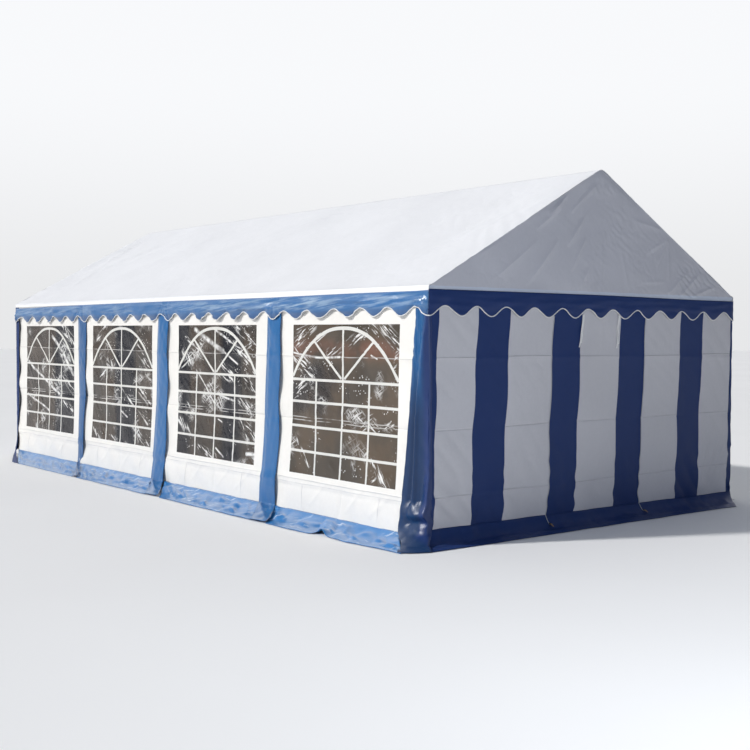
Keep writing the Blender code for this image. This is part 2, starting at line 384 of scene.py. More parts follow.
# The band is a painted highlight on the roof, where the cover turns over the eave, and on the gables a paler
# band of painted light within their painted shade.
tint(roof_cloth, hem_highlight_band, HEM_HIGHLIGHT_WHITE)
tint(gable_cloth, hem_highlight_band, GABLE_HEM_SHADE)


def roof_height(y):
    """The height of the taut cover over this distance from the middle."""
    return RIDGE_Z - PITCH * (np.sqrt(y * y + RIDGE_ROUND**2) - RIDGE_ROUND)


def roof_profile():
    """Points (y, z) of the cover from its back hem, over the ridge, to its front hem."""
    flat = COVER_Y - EAVE_ROUND
    side_y = np.linspace(0, flat, round(flat / ROOF_STEP))
    bend = np.linspace(0, 1, 6)[1:]
    bend_y = flat + EAVE_ROUND * np.sin(bend * math.pi / 2)
    bend_z = roof_height(flat) - EAVE_ROUND * (1 - np.cos(bend * math.pi / 2))
    hem_z = np.linspace(bend_z[-1], HEM_Z, 4)[1:]
    y = np.concatenate([side_y, bend_y, np.full(3, COVER_Y)])
    z = np.concatenate([roof_height(side_y), bend_z, hem_z])
    return np.concatenate([y[::-1], -y[1:]]), np.concatenate([z[::-1], z[1:]])


profile_y, profile_z = roof_profile()


def roof_surface(x, d):
    """The cover, where d counts the points of its profile."""
    y = np.interp(d, np.arange(profile_y.size), profile_y)
    z = np.interp(d, np.arange(profile_z.size), profile_z)
    up_slope = np.clip(1 - np.abs(y) / COVER_Y, 0, 1)
    between = np.sin(math.pi * (x / BAY)) ** 2
    hold = np.sin(math.pi * up_slope) ** 0.6
    down = ROOF_SAG * between * hold
    down = down + ROOF_WAVE * ripples(x, y, 11, 0.9) * hold
    where = patches(x + 9, y + 5, 15, 0.8) ** 2
    down = down + ROOF_WRINKLE * where * np.abs(ripples(x, y, 16, 0.16, 0.9, 0.4)) * hold
    for end, share in END_SHARES.items():
        near = share * rise(x * end, COVER_X - 1.3, COVER_X - 0.1) * hold
        down = down + END_WRINKLE * near * np.abs(ripples(x, y, 21 + end, 0.20, 0.7 * end, 0.35))
        for number, reach in enumerate(FAN_REACH):
            for side in (-1, 1):
                start = (end * (3.98 - 0.1 * number), side * (0.12 + 0.1 * number))
                stop = (end * (3.85 - 0.35 * number), side * reach)
                down = down - FAN_CREASE * crease(x, y, start, stop, ROOF_CREASE_WIDTH)
    for start, stop in ROOF_CREASES:
        down = down - LONE_CREASE * crease(x, y, start, stop, ROOF_CREASE_WIDTH)
    low = rise(np.abs(y), COVER_Y - 0.35, COVER_Y - 0.08) * rise(COVER_Y - np.abs(y), 0.01, 0.06)
    down = down + HEM_WRINKLE * low * np.abs(ripples(x, y, 31, 0.28, 0.0, 0.3))
    return x, y, z - np.maximum(down, -ROOF_WRINKLE)


across = np.linspace(-COVER_X, COVER_X, round(2 * COVER_X / ROOF_STEP))
roof = cloth(
    "roof_cover",
    roof_cloth,
    "roof_cloth",
    grid(roof_surface, across, np.arange(profile_y.size)),
    over=("front_roof_slope", "back_roof_slope"),
)

# Each gable is closed by a triangle of the roof's cloth, sewn in along both slopes. It hangs
# almost flat, with long folds beside the slopes and small ones where the eave corners pull.
ENDS = (("right", False), ("left", True))
GABLE_INSET = 0.004
GABLE_STEP = 0.0145
GABLE_ROWS = 70
GABLE_WAVE = 0.005
GABLE_HOLLOW = 0.003
GABLE_PROUD = 0.04
GABLE_CREASES = (
    ((-0.06, 2.86), (-0.40, 2.60), 0.016, 0.030),
    ((-0.38, 2.79), (-0.66, 2.56), 0.022, 0.018),
    ((-0.48, 2.66), (-0.80, 2.44), 0.012, 0.022),
    ((-0.12, 2.68), (-0.43, 2.33), 0.016, 0.020),
    ((-0.20, 2.40), (-0.39, 2.12), 0.014, 0.018),
    ((-0.55, 2.36), (-0.92, 1.97), 0.013, 0.028),
    ((-0.06, 2.28), (-0.30, 1.95), 0.009, 0.022),
    ((-0.80, 2.34), (-1.28, 2.02), 0.010, 0.030),
    ((0.93, 2.46), (0.62, 2.31), 0.009, 0.014),
    ((0.93, 2.46), (0.77, 2.20), 0.009, 0.014),
    ((0.95, 2.52), (0.42, 2.59), 0.006, 0.016),
    ((0.93, 2.46), (0.95, 2.08), 0.006, 0.014),
    ((1.24, 2.18), (0.94, 1.96), 0.013, 0.022),
    ((1.42, 2.17), (1.13, 1.95), 0.015, 0.024),
    ((1.66, 2.05), (1.30, 1.94), 0.012, 0.022),
    ((0.55, 2.05), (0.90, 2.07), 0.004, 0.012),
    ((0.26, 2.34), (0.38, 1.98), 0.005, 0.020),
    ((0.01, 1.90), (0.02, 2.95), 0.003, 0.012),
)


def gable_surface(seed):
    def surface(y, d):
        top = roof_height(y) - GABLE_INSET
        z = top - (top - HEM_Z) * d
        out = GABLE_WAVE * ripples(y, z, seed, 0.7, 0.5, 1.2)
        for start, end, height, width in GABLE_CREASES:
            out = out + height * crease(y, z, start, end, width)
        fine = patches(y + 4, z, seed + 1, 0.35) ** 2
        out = out + GABLE_WAVE * fine * np.abs(ripples(y, z, seed + 2, 0.11, 0.8, 0.5))
        hollow = GABLE_HOLLOW * np.tanh(np.minimum(out, 0) / GABLE_HOLLOW)
        out = np.clip(out, 0, GABLE_PROUD) + hollow
        held = rise(d, 0, 0.07) * rise(1 - d, 0.0, 0.12)
        return COVER_X - GABLE_INSET + out * held, y, z

    return surface


inside = COVER_Y - GABLE_INSET
across = np.linspace(-inside, inside, round(2 * inside / GABLE_STEP))
for end, turned in ENDS:
    triangle = grid(gable_surface(41 + turned), across, np.linspace(0, 1, GABLE_ROWS))
    node = f"{end}_gable_cloth"
    name = f"{end}_gable_triangle"
    gable = cloth(name, gable_cloth, "roof_cloth", triangle, over=(node,), turned=turned)

# The valances are strips of glossy blue cloth sewn under the hem of the roof. The lower edge is
# cut in scallops and bound with a white tape, and the strip puckers at the posts.
BLUE = (0.006, 0.130, 0.365)
# The ends' blue is the sides' blue painted darker, as painted shade. It also serves the short valances, the
# ends' flaps and the narrow corner strips.
END_SHADE_BLUE = (0.011, 0.036, 0.150)
TAPE_WHITE = (0.80, 0.80, 0.79)
SCALLOPS_LONG = 24
SCALLOPS_SHORT = 12
SCALLOP_CREST = 0.108
TAPE_RADIUS = 0.0048
SCALLOP_SHIFT = (
    (-4.03, 0.0), (-3.7, 0.09), (-1.0, 0.10), (0.6, 0.05), (2.0, -0.037), (2.65, -0.015),
    (2.8, 0.02), (3.07, 0.045), (3.8, 0.035), (4.03, 0.0),
)
VALANCE_LIFT = (
    (-4.03, -0.014), (-2.0, 0.0), (0.0, 0.004), (1.9, 0.0), (3.0, 0.008), (3.9, 0.008),
    (4.03, 0.012),
)
VALANCE_MORE = ((-4.03, 0.020), (2.3, 0.014), (3.0, 0.004), (4.03, 0.0))
VALANCE_STEP = 0.012
VALANCE_ROWS = 15
VALANCE_GAP = 0.003
LONG_STAND = 0.026
SHORT_STAND = 0.008
FLUTTER = 0.004
LONG_STREAK = 0.0075
SHORT_STREAK = 0.002
PULL_DEPTH = 0.010
POST_LEANS = (-0.24, -0.12, -0.03, 0.09)
CORNER_PULLS = (0.10, 0.055, 0.01, -0.04)
CORNER_TURN = 0.016
CLOTH_THICK = 0.0015

blue_cloth = coated_cloth("blue_cloth", BLUE, 0.30, 0.006, 6, coat=0.5, gloss=0.7)
end_shade_blue = coated_cloth("end_blue_cloth", END_SHADE_BLUE, 0.5, 0.005, 7, coat=0.0, gloss=0.3)
valance_cloth = coated_cloth("valance_cloth", BLUE, 0.36, 0.008, 9, coat=0.5, gloss=1.0, blur=0.25)
white_tape = coated_cloth("white_tape", TAPE_WHITE, 0.5, 0.001, 40)
SCALLOP_LOW = HEM_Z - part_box("front_valance")[0].z
SHEEN_BLUE = (0.29, 0.42, 0.58, 1)
DEEP_BLUE = (0.004, 0.060, 0.200, 1)


def joined(x, y, number):
    """The place (x, y, number), for a noise that is drawn out along lines of its own."""
    return x.node("ShaderNodeCombineXYZ", {}, {0: x, 1: y, 2: number})


def valance_painted_sheen(place):
    """1 on paler streaks along the strip, a painted sheen where the coat would catch the light."""
    slope = abs(place.axis("X") - 4.05).rise(0, 1.6) * 0.02
    level = place.axis("Z") + (place.axis("X") * -0.09).maths("MAXIMUM", -0.36) + slope
    spread = joined(place.axis("X") * 2.4, level * 30, 0.0)
    middle = place.axis("Z").rise(HEM_Z - 0.135, HEM_Z - 0.085)
    middle = middle * (1 - place.axis("Z").rise(HEM_Z - 0.030, HEM_Z + 0.002))
    patch = place.stretch(1, 1, 0).noise(1.1, 2).rise(0.30, 0.56)
    right = 0.45 + 0.55 * place.axis("X").rise(-0.5, 2.5)
    return spread.noise(1.0, 4, 0.6).rise(0.44, 0.60) * middle * patch * right


def valance_tips(place):
    """1 on the tips of the scallops, which curl in out of the light."""
    return 0.75 - 0.75 * place.axis("Z").rise(HEM_Z - 0.175, HEM_Z - 0.095)


# The tips of the scallops get painted shade, and the strip gets streaks of painted sheen.
tint(valance_cloth, valance_tips, DEEP_BLUE)
tint(valance_cloth, valance_painted_sheen, SHEEN_BLUE)


def track(table, along):
    """The value at each place along a side, from a table of places and values."""
    places, values = zip(*table)
    return np.interp(along, places, values)


def scallop_drop(along, half, long_side):
    """How far the scalloped edge lies below the hem."""
    count = SCALLOPS_LONG if long_side else SCALLOPS_SHORT
    shift = track(SCALLOP_SHIFT, along) if long_side else 0.0
    turns = count * ((along - shift) / (2 * half) + 0.5)
    wave = 0.5 + 0.5 * np.cos(2 * math.pi * turns)
    more = track(VALANCE_MORE, along) if long_side else -0.006 * (1 - wave)
    return SCALLOP_CREST + (SCALLOP_LOW - SCALLOP_CREST) * wave + more


def valance_lift(along, long_side):
    """How far the sewn edge runs above the hem. It wanders a little, as the cover does."""
    if long_side:
        return track(VALANCE_LIFT, along)
    return 0.020 - 0.014 * rise(along, -0.3, 1.7)


def valance_out(along, d, z, seed, half, long_side):
    """How far the strip stands out from the face of the cover."""
    free = rise(half - np.abs(along), 0, 0.05)
    stand = (LONG_STAND if long_side else SHORT_STAND) * np.sin(math.pi * 0.84 * d)
    stand = stand * (0.7 + 0.6 * patches(along + 9, z, seed, 0.45)) * free
    flutter = FLUTTER * ripples(along, z, seed + 2, 0.42, 0.0, 0.2) * rise(d, 0.4, 1.0) * free
    if not long_side:
        streaks = SHORT_STREAK * ripples(along, z, seed + 1, 0.09, math.pi / 2, 0.22)
        out = stand + streaks * rise(d, 0.05, 0.3) + 0.7 * flutter
        return np.maximum(out, -0.001) + VALANCE_GAP
    streaks = ripples(along * 0.20, z, seed + 1, 0.065, math.pi / 2, 0.3)
    streaks = LONG_STREAK * streaks * rise(d, 0.04, 0.25)
    streaks = streaks * (0.3 + patches(along + 9, z, seed + 5, 0.3))
    pull = np.zeros_like(along)
    for post in range(BAYS + 1):
        x = post_x(post)
        for lean in POST_LEANS:
            pull = pull + crease(along, z, (x + 0.01, HEM_Z + 0.02), (x + lean, HEM_Z - 0.2), 0.010)
        near = np.exp(-(((along - x) / 0.12) ** 2))
        pull = pull + 0.5 * near * np.abs(ripples(along, z, seed + 9 + post, 0.05, 0.3, 1.0))
    for reach in CORNER_PULLS:
        end = (3.45, HEM_Z - 0.12 + reach)
        pull = pull + 1.2 * crease(along, z, (4.03, HEM_Z - 0.01), end, 0.011)
    corner = np.exp(-(((along - 3.97) / 0.06) ** 2)) * rise(d, 0.05, 0.3)
    pull = pull + 0.45 * corner * ripples(along, z, seed + 30, 0.028, 0.6, 1.2)
    turn = np.clip((np.abs(along) - half + CORNER_TURN) / CORNER_TURN, 0, 1) * rise(d, 0, 0.2)
    out = np.maximum(stand + streaks + flutter - PULL_DEPTH * pull, -0.001) + VALANCE_GAP
    return out - CORNER_TURN * (1 - np.sqrt(1 - turn**2))


def tube(name, points, radius, material):
    """A cord or tape of this radius along the points."""
    curve = bpy.data.curves.new(name, "CURVE")
    curve.dimensions = "3D"
    curve.bevel_depth = radius
    curve.bevel_resolution = 2
    curve.use_fill_caps = True
    line = curve.splines.new("POLY")
    line.points.add(len(points) - 1)
    for point, spot in zip(line.points, points):
        point.co = (*spot, 1)
    return add_piece(name, curve, material)


def make_valance(side, long_side, turned, seed):
    half = COVER_X if long_side else COVER_Y - 0.001
    reach = COVER_Y if long_side else COVER_X

    def surface(along, d):
        top = HEM_Z + valance_lift(along, long_side)
        z = top + d * (HEM_Z - scallop_drop(along, half, long_side) - top)
        out = reach + valance_out(along, d, z, seed, half, long_side)
        return (along, -out, z) if long_side else (out, along, z)

    across = np.linspace(-half, half, round(2 * half / VALANCE_STEP))
    valance = cloth(
        f"{side}_valance_strip",
        valance_cloth if long_side else end_shade_blue,
        "blue_cloth",
        grid(surface, across, np.linspace(0, 1, VALANCE_ROWS)),
        over=(f"{side}_valance",),
        turned=turned,
        thick=CLOTH_THICK,
    )
    edge = np.stack(surface(across, np.ones_like(across)), axis=-1)
    edge = edge * ((-1, -1, 1) if turned else (1, 1, 1))
    name = f"{side}_valance_tape"
    tape = tube(name, edge.tolist(), TAPE_RADIUS, white_tape)


make_valance("front", True, False, 60)
make_valance("back", True, True, 80)
make_valance("right", False, False, 100)
make_valance("left", False, True, 120)

# The long sides are closed by white sheets, one for each bay, tied to the eave rail. Each hangs
# straight and is drawn out a little at its foot. The folds of the packing still show in it, and
# its left edge hangs in waves behind the neighbour's blue border.
WALL_WHITE = (0.90, 0.878, 0.835)
CREASE_SHADE_WHITE = (0.56, 0.55, 0.56, 1)
FILM_INSET = 0.001
WALL_TOP = 1.905
WALL_FOOT = 0.072
KICK = 0.04
KICK_TOP = 0.95
FOLD_HEIGHTS = (1.40, 0.86, 0.345)
WALL_STEP = 0.0135
SEAM_TOP = (-0.095, -0.11, -0.15, -0.12)
SEAM_FOOT = (-0.265, -0.215, -0.26, -0.085)
WINDOW_SHIFT = (-0.008, -0.02, 0.0, 0.045)
WINDOW_SWAY = (-0.045, -0.035, -0.035, 0.0)
WINDOW_MORE = 0.008
HEAD_MORE = 0.017
PANEL_TOP = 0.305
PANEL_CREASES = (-0.55, -0.02, 0.48)
CREASE_WIDTH = 0.006
WALL_WAVE = 0.003
WALL_FOLD = 0.004
LOWER_WAVE = 0.006
PANEL_CREASE = 0.008
PANEL_LEVEL = 0.004
SLANT_CREASE = 0.005
SLANT_CREASES = ((0.66, 0.36), (0.3, 0.05), (-0.2, -0.45))
LAST_TUCK = 1.8

wall_cloth = coated_cloth("wall_cloth", WALL_WHITE, 0.42, 0.005, 7, folds=FOLD_HEIGHTS)


def panel_crease_shade(place):
    """1 on the creases of the panel under each window, which get a little painted shade."""
    waver = 0.03 * place.noise(2.5, 2)
    local = (place.axis("X") - 1.0).maths("WRAP", 1.0, -1.0) + waver
    height = place.axis("Z") + 0.6 * waver - 0.009
    level = (1 - abs(height - PANEL_TOP) * (1 / CREASE_WIDTH)).rise(0, 1)
    upright = 0.0
    for column in PANEL_CREASES:
        line = (1 - abs(local - (column + 0.015)) * (1 / CREASE_WIDTH)).rise(0, 1)
        upright = line.maths("MAXIMUM", upright)
    upright = upright * (1 - height.rise(PANEL_TOP - 0.015, PANEL_TOP)) * height.rise(0.08, 0.2)
    return 0.65 * level.maths("MAXIMUM", upright) * place.noise(5, 3).rise(0.3, 0.6)


tint(wall_cloth, panel_crease_shade, CREASE_SHADE_WHITE)
film_low, film_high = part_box("front_window_film_1")
WALL_Y = FILM_INSET - film_low.y
WINDOW_HALF = (film_high.x - film_low.x) / 2 + WINDOW_MORE
SILL = film_low.z
HEAD = film_high.z + HEAD_MORE


def kick(z):
    """How far the foot of a long side is drawn out."""
    return KICK * np.clip((KICK_TOP - z) / (KICK_TOP - WALL_FOOT), 0, 1) ** 2


def lean_of(z):
    """0 at the top of the walls and 1 at their foot."""
    return (WALL_TOP - z) / (WALL_TOP - WALL_FOOT)


def seam_x(bay, z):
    """Where the white sheet of a bay ends and its blue border begins."""
    return post_x(bay) + SEAM_TOP[bay] + (SEAM_FOOT[bay] - SEAM_TOP[bay]) * lean_of(z)


def window_drift(bay, z):
    """How far the window hangs off the middle of its bay."""
    return WINDOW_SHIFT[bay] + WINDOW_SWAY[bay] * lean_of(z)


def packing_folds(a, z, seed):
    """The creases left by folding the sheet for its bag."""
    total = np.zeros(np.broadcast(a, z).shape)
    for number, height in enumerate(FOLD_HEIGHTS):
        line = height + 0.008 * np.sin(1.7 * a + seed + number) - 0.008 * a
        total = total + (-1) ** number * np.exp(-np.abs(z - line) / 0.018)
    return total


def wall_out(x, z, bay, seed):
    """How far the white sheet of a bay stands out from the plane of the walls."""
    left = post_x(bay + 1)
    middle = left + BAY / 2
    soft = WALL_WAVE * ripples(x, z, seed, 0.7, 0.3, 0.9)
    soft = soft + WALL_FOLD * packing_folds(x - middle, z, seed)
    lower = rise(SILL - z, 0.0, 0.12)
    soft = soft + LOWER_WAVE * lower * ripples(x, z, seed + 1, 0.33, 0.75, 0.35)
    wave = 0.008 + 0.006 * np.sin(2 * math.pi * z / 0.5 + seed) + 0.003 * np.sin(19 * z + seed)
    wave = wave * (LAST_TUCK if bay == BAYS - 1 else 1.0)
    tuck = wave * np.exp(-(((x - left - 0.06) / 0.08) ** 2))
    for number, column in enumerate(PANEL_CREASES):
        foot = (middle + column, WALL_FOOT)
        head = (middle + column - 0.01, PANEL_TOP + 0.02)
        soft = soft + PANEL_CREASE * (-1) ** number * crease(x, z, foot, head, 0.014)
    level = np.exp(-np.abs(z - PANEL_TOP) / 0.012) - np.exp(-np.abs(z - PANEL_TOP + 0.03) / 0.02)
    soft = soft + PANEL_LEVEL * level
    for start, end in SLANT_CREASES:
        slant = crease(x, z, (middle + start, SILL - 0.02), (middle + end, WALL_FOOT + 0.06), 0.016)
        soft = soft + SLANT_CREASE * slant
    return kick(z) + (soft - tuck) * rise(WALL_TOP - z, 0.04, 0.3)


def steps(*stops, pitch=WALL_STEP):
    """Even steps of about the pitch through all the stops."""
    spans = [
        np.linspace(start, end, max(2, round((end - start) / pitch) + 1))[:-1]
        for start, end in zip(stops, stops[1:])
    ]
    return np.concatenate([*spans, stops[-1:]])


def make_window_wall(side, bay, turned, seed):
    middle = bay_middle(bay)
    seam = seam_x(bay, WALL_TOP)

    def surface(a, d):
        z = WALL_TOP - d
        beyond = np.clip((a - middle - WINDOW_HALF) / (seam - middle - WINDOW_HALF), 0, 1)
        x = a + window_drift(bay, z) * (1 - beyond) + (seam_x(bay, z) - seam) * beyond
        return x, -WALL_Y - wall_out(x, z, bay, seed), z

    def outside_window(a, d):
        beside = np.abs(a - middle) > WINDOW_HALF
        return beside | (WALL_TOP - d > HEAD) | (WALL_TOP - d < SILL)

    left = middle - BAY / 2 + 0.012
    across = steps(left, middle - WINDOW_HALF, middle + WINDOW_HALF, seam)
    down = steps(0, WALL_TOP - HEAD, WALL_TOP - SILL, WALL_TOP - WALL_FOOT)
    name = f"{side}_bay_{bay + 1}_sheet"
    node = f"{side}_window_wall_{bay + 1}"
    sheet = grid(surface, across, down, outside_window)
    wall = cloth(name, wall_cloth, "wall_cloth", sheet, over=(node,), turned=turned)
    wide = seam - left
    tall = WALL_TOP - WALL_FOOT
    wide * tall - 2 * WINDOW_HALF * (HEAD - SILL)
    return name


# Each window is a sheet of clear film welded into the opening, crinkled all over, and little
# shows through it. Its colour is painted: dark bands as painted shade, brown and reddish bands
# as painted reflection, and glints as painted highlights. Flat white tapes on it draw the
# glazing bars: four rows of four panes under an arch with two struts.
FILM_BLACK = (0.014, 0.014, 0.020, 1)
FILM_BROWN = (0.125, 0.092, 0.064, 1)
FILM_GREY = (0.070, 0.062, 0.052, 1)
FILM_GLINT = (0.86, 0.85, 0.83, 1)
TAPE_CREAM = (0.76, 0.75, 0.71)
FILM_STEP = 0.021
FILM_LAP = 0.008
TRANSOM = 1.20
PANE_ROWS = (1.01, 0.80, 0.585)
PANE_COLUMNS = (-0.3525, 0.0, 0.3525)
ARCH_TOP = 1.636
ARCH_FALL = 0.916
ARCH_POWER = 2.36
ARCH_POINTS = 90
STRUT_FOOT = (0.02, 1.22)
STRUT_HEAD = (0.395, 1.525)
BAR_PROUD = 0.0016
NEAR_PITCH = 0.017
FAR_PITCH = 0.026
LINE_DRAWN = 0.13
BAR_WIDTH = 0.022
ARCH_WIDTH = 0.029
# Bands across the films: the dark ones are painted shade and the brown ones painted reflection.
DARK_BANDS = ((0.20, 0.46), (1.09, 1.40), (-1.15, -0.70), (-2.77, -2.20))
BROWN_BANDS = (
    (0.50, 1.10), (1.45, 1.75), (-1.80, -1.16), (-0.70, -0.30), (-3.80, -2.80), (2.25, 3.75)
)
FIRST_BAND = (2.2, 3.8)
OPEN_BAND = (3.05, 3.8)
BAND_EDGE = 0.06
# On the first film, a reddish band of painted reflection and a band of painted shade.
FILM_REFLECTED_RED = (0.25, 0.115, 0.080, 1)
REFLECTED_RED_BAND = (1.40, 1.53)
SHADE_BAND = (0.90, 1.33)
# The glints and streaks of the front's films, all painted highlights, each by the place (x, z)
# of its two ends and its width, in centimetres.
GLINTS_RISING = (
    (234, 153, 255, 166, 8.1), (263, 156, 277, 163, 3.4), (280, 143, 326, 159, 5.9),
    (228, 107, 246, 120, 5.9), (298, 94, 304, 99, 2.2), (326, 84, 336, 93, 5.2),
    (363, 133, 368, 145, 2.9), (-159, 150, -141, 166, 7.4), (-157, 107, -142, 117, 5.5),
    (141, 140, 158, 149, 3.9), (35, 128, 53, 140, 6), (346, 84, 361, 89, 3), (339, 43, 346, 55, 3.6),
)
GLINTS_FALLING = (
    (231, 141, 255, 126, 10.5), (351, 166, 368, 151, 8.9), (333, 168, 343, 159, 4.1),
    (321, 93, 339, 83, 5.2), (339, 90, 363, 83, 4), (129, 170, 148, 158, 6.7),
    (153, 156, 167, 150, 3.9), (134, 147, 165, 126, 9.2), (107, 130, 131, 121, 5.5),
    (148, 120, 165, 104, 6.5), (143, 97, 165, 84, 7.8), (98, 121, 127, 115, 4.1), (68, 47, 98, 40, 5.7),
    (41, 155, 66, 143, 3), (151, 76, 165, 64, 5.2), (-62, 143, -40, 124, 6.7), (-67, 106, -38, 88, 8.3),
    (-105, 96, -67, 83, 6.9), (-62, 81, -40, 65, 5), (-258, 167, -227, 145, 10.1),
    (-259, 111, -228, 91, 8.1), (-260, 78, -231, 67, 7.1), (-63, 51, -40, 40, 6.7),
    (-283, 111, -259, 97, 6.3), (41, 88, 56, 82, 4.5),
)
GLINTS_STEEP = (
    (229, 70, 242, 57, 4.7), (242, 57, 251, 46, 2.3), (338, 58, 356, 39, 5.1), (37, 140, 56, 123, 7.4),
    (141, 79, 155, 61, 4), (-168, 50, -150, 38, 5.6), (30, 72, 48, 61, 6), (-247, 162, -224, 138, 6),
)
FILM_STREAKS = (
    (59, 163, 111, 142, 3.3), (111, 142, 136, 130, 1.4), (98, 162, 124, 151, 1.8),
    (124, 151, 143, 144, 0.9), (60, 122, 80, 106, 1.2), (80, 106, 94, 92, 1.1),
    (104, 100, 132, 96, 1.5), (22, 74, 37, 62, 2.7), (99, 49, 113, 42, 1.4), (153, 48, 167, 49, 2.6),
    (-288, 154, -256, 135, 3.1), (-256, 135, -227, 110, 4.1), (-362, 122, -262, 82, 2.8),
    (-363, 81, -297, 63, 2), (-103, 74, -86, 68, 1.4), (-125, 45, -115, 40, 1.3),
    (225, 143, 261, 139, 1.1), (261, 139, 294, 140, 1.4), (335, 142, 342, 139, 1),
    (45, 152, 66, 143, 1.3), (231, 162, 249, 167, 0.6), (262, 152, 280, 162, 0.7),
    (102, 77, 109, 75, 1), (-56, 100, -44, 90, 1.5),
)
GLINT_FAMILIES = ((29, GLINTS_RISING, 1.7), (-31, GLINTS_FALLING, 5.2), (-57, GLINTS_STEEP, 8.9))
DOTS_A_METRE = 34
UPPER_FOLD = 1.400
MIDDLE_FOLD = 0.865
FILM_ALPHA = 0.90
FILM_CRINKLE = 0.006
FILM_BACK = 0.0015
FILM_CRUMPLE = 0.004
FILM_WAVE = 0.0025


def streak(x, z, row):
    """1 along a line of a table, fading to 0 at its width."""
    start_x, start_z, end_x, end_z, width = (value / 100 for value in row)
    run_x = end_x - start_x
    run_z = end_z - start_z
    square = run_x**2 + run_z**2
    along = (x - start_x) * (run_x / square) + (z - start_z) * (run_z / square)
    along = along.maths("MAXIMUM", 0.0).maths("MINIMUM", 1.0)
    off_x = x - start_x - along * run_x
    off_z = z - start_z - along * run_z
    away = (off_x * off_x + off_z * off_z).maths("SQRT")
    return (1 - away * (1 / width)).rise(0.0, 0.8)


def in_bands(x, bands):
    """1 where x lies in one of the bands, with soft edges."""
    total = 0.0
    for low, high in bands:
        inside = x.rise(low - BAND_EDGE, low + BAND_EDGE)
        total = inside * (1 - x.rise(high - BAND_EDGE, high + BAND_EDGE)) + total
    return total


def fine_lines(place, x, z, angle, number):
    """1 on fine broken glints that run at this angle across the film."""
    along = x * math.cos(angle) + z * math.sin(angle)
    off = z * math.cos(angle) - x * math.sin(angle)
    near = place.axis("X").rise(-0.1, 0.1)
    each = near * (1 / NEAR_PITCH - 1 / FAR_PITCH) + 1 / FAR_PITCH
    lines = joined(off * each, along * (each * LINE_DRAWN), number)
    return lines.noise(1.0, 3, 0.55).rise(0.51, 0.63)


def brightest(flows):
    """The highest of some flows."""
    total = 0.0
    for flow in flows:
        total = flow.maths("MAXIMUM", total)
    return total


def make_film_material():
    material, shader, place = start_material("window_film", Roughness=0.10, IOR=1.45)
    waver = 0.06 * place.noise(2.4, 2) - 0.03
    x = place.axis("X") + waver
    z = place.axis("Z") + waver * 0.4
    mottle = place.noise(3.2, 4).rise(0.32, 0.66)
    brown = in_bands(x, BROWN_BANDS)
    dark = in_bands(x, DARK_BANDS)
    ground = (brown * (0.25 + 0.75 * mottle)).mix(FILM_GREY, FILM_BROWN)
    first = in_bands(x, (FIRST_BAND,))
    reflected_red = first * in_bands(z, (REFLECTED_RED_BAND,)) * mottle
    ground = (0.75 * reflected_red).mix(ground, FILM_REFLECTED_RED)
    shade = first * in_bands(z, (SHADE_BAND,)) * (1 - in_bands(x, (OPEN_BAND,)))
    ground = (dark * (0.75 + 0.25 * mottle) + 0.7 * shade * (1 - mottle)).mix(ground, FILM_BLACK)
    # The films beyond the first bay are painted darker, as shade.
    ground = (0.3 - 0.3 * x.rise(1.7, 2.2)).mix(ground, FILM_BLACK)

    glints = []
    for degrees, table, number in GLINT_FAMILIES:
        angle = math.radians(degrees)
        where = brightest(streak(x, z, row) for row in table)
        sparse = place.noise(3.4, 2).rise(0.56, 0.70) * 0.8
        glints.append(fine_lines(place, x, z, angle, number) * where.maths("MAXIMUM", sparse))
    frayed = 0.35 + 0.65 * place.noise(16, 3).rise(0.35, 0.6)
    glints += [streak(x, z, row) * frayed for row in FILM_STREAKS]
    cells = {"Vector": place, "Scale": DOTS_A_METRE}
    dots = (1 - 4.0 * place.node("ShaderNodeTexVoronoi", {}, cells)).rise(0.0, 0.5)
    glints.append(dots * place.noise(4.3, 2).rise(0.52, 0.62))
    broken = place.stretch(5, 5, 9).noise(1.0, 3).rise(0.38, 0.58)
    glints.append((1 - 150 * abs(z - UPPER_FOLD)).rise(0.0, 1) * broken * 0.6)
    doubled = abs(abs(z - MIDDLE_FOLD) - 0.013)
    glints.append((1 - 160 * doubled).rise(0.0, 1) * broken * 0.7)
    glint = brightest(glints)
    crinkle = abs(place.stretch(1, 1, 0.6).noise(14, 4, 0.6) - 0.5)
    feed(
        shader,
        Base_Color=glint.mix(ground, FILM_GLINT),
        Alpha=(FILM_ALPHA + glint * (1 - FILM_ALPHA)).maths("MINIMUM", 1.0),
        Normal=crinkle.bump(FILM_CRINKLE),
    )
    return material


window_film = make_film_material()
cream_tape = coated_cloth("cream_tape", TAPE_CREAM, 0.38, 0.0006, 60)


def film_out(x, z, bay, seed):
    """How far the film stands out from the plane of the walls."""
    middle = bay_middle(bay)
    edge = np.minimum(WINDOW_HALF - np.abs(x - middle - window_drift(bay, z)), HEAD - z)
    inner = rise(np.minimum(edge, z - SILL), -0.01, 0.05)
    crumple = np.abs(ripples(x, z, seed + 3, 0.13, 0.7, 0.5)) * patches(x + 9, z, seed, 0.3)
    crumple = FILM_CRUMPLE * crumple + FILM_WAVE * ripples(x, z, seed + 4, 0.4, 0.4, 1.2)
    return wall_out(x, z, bay, seed) - FILM_BACK + crumple * inner


def ribbon(path, width, lift):
    """The grid of a flat tape along a path of points (x, z) on the film. lift gives the sheet's
    place for x and z."""
    run = np.gradient(path, axis=0)
    run = run / np.linalg.norm(run, axis=1)[:, None]

    def surface(side, step):
        row = step.astype(int)
        x = path[row, 0] - side * run[row, 1] * width / 2
        z = path[row, 1] + side * run[row, 0] * width / 2
        return lift(x, z)

    return grid(surface, np.array([-1.0, 0.0, 1.0]), np.arange(len(path)))


def straight(start, end, pitch=0.02):
    """Points from start to end."""
    count = max(2, round(math.dist(start, end) / pitch))
    return np.linspace(start, end, count)


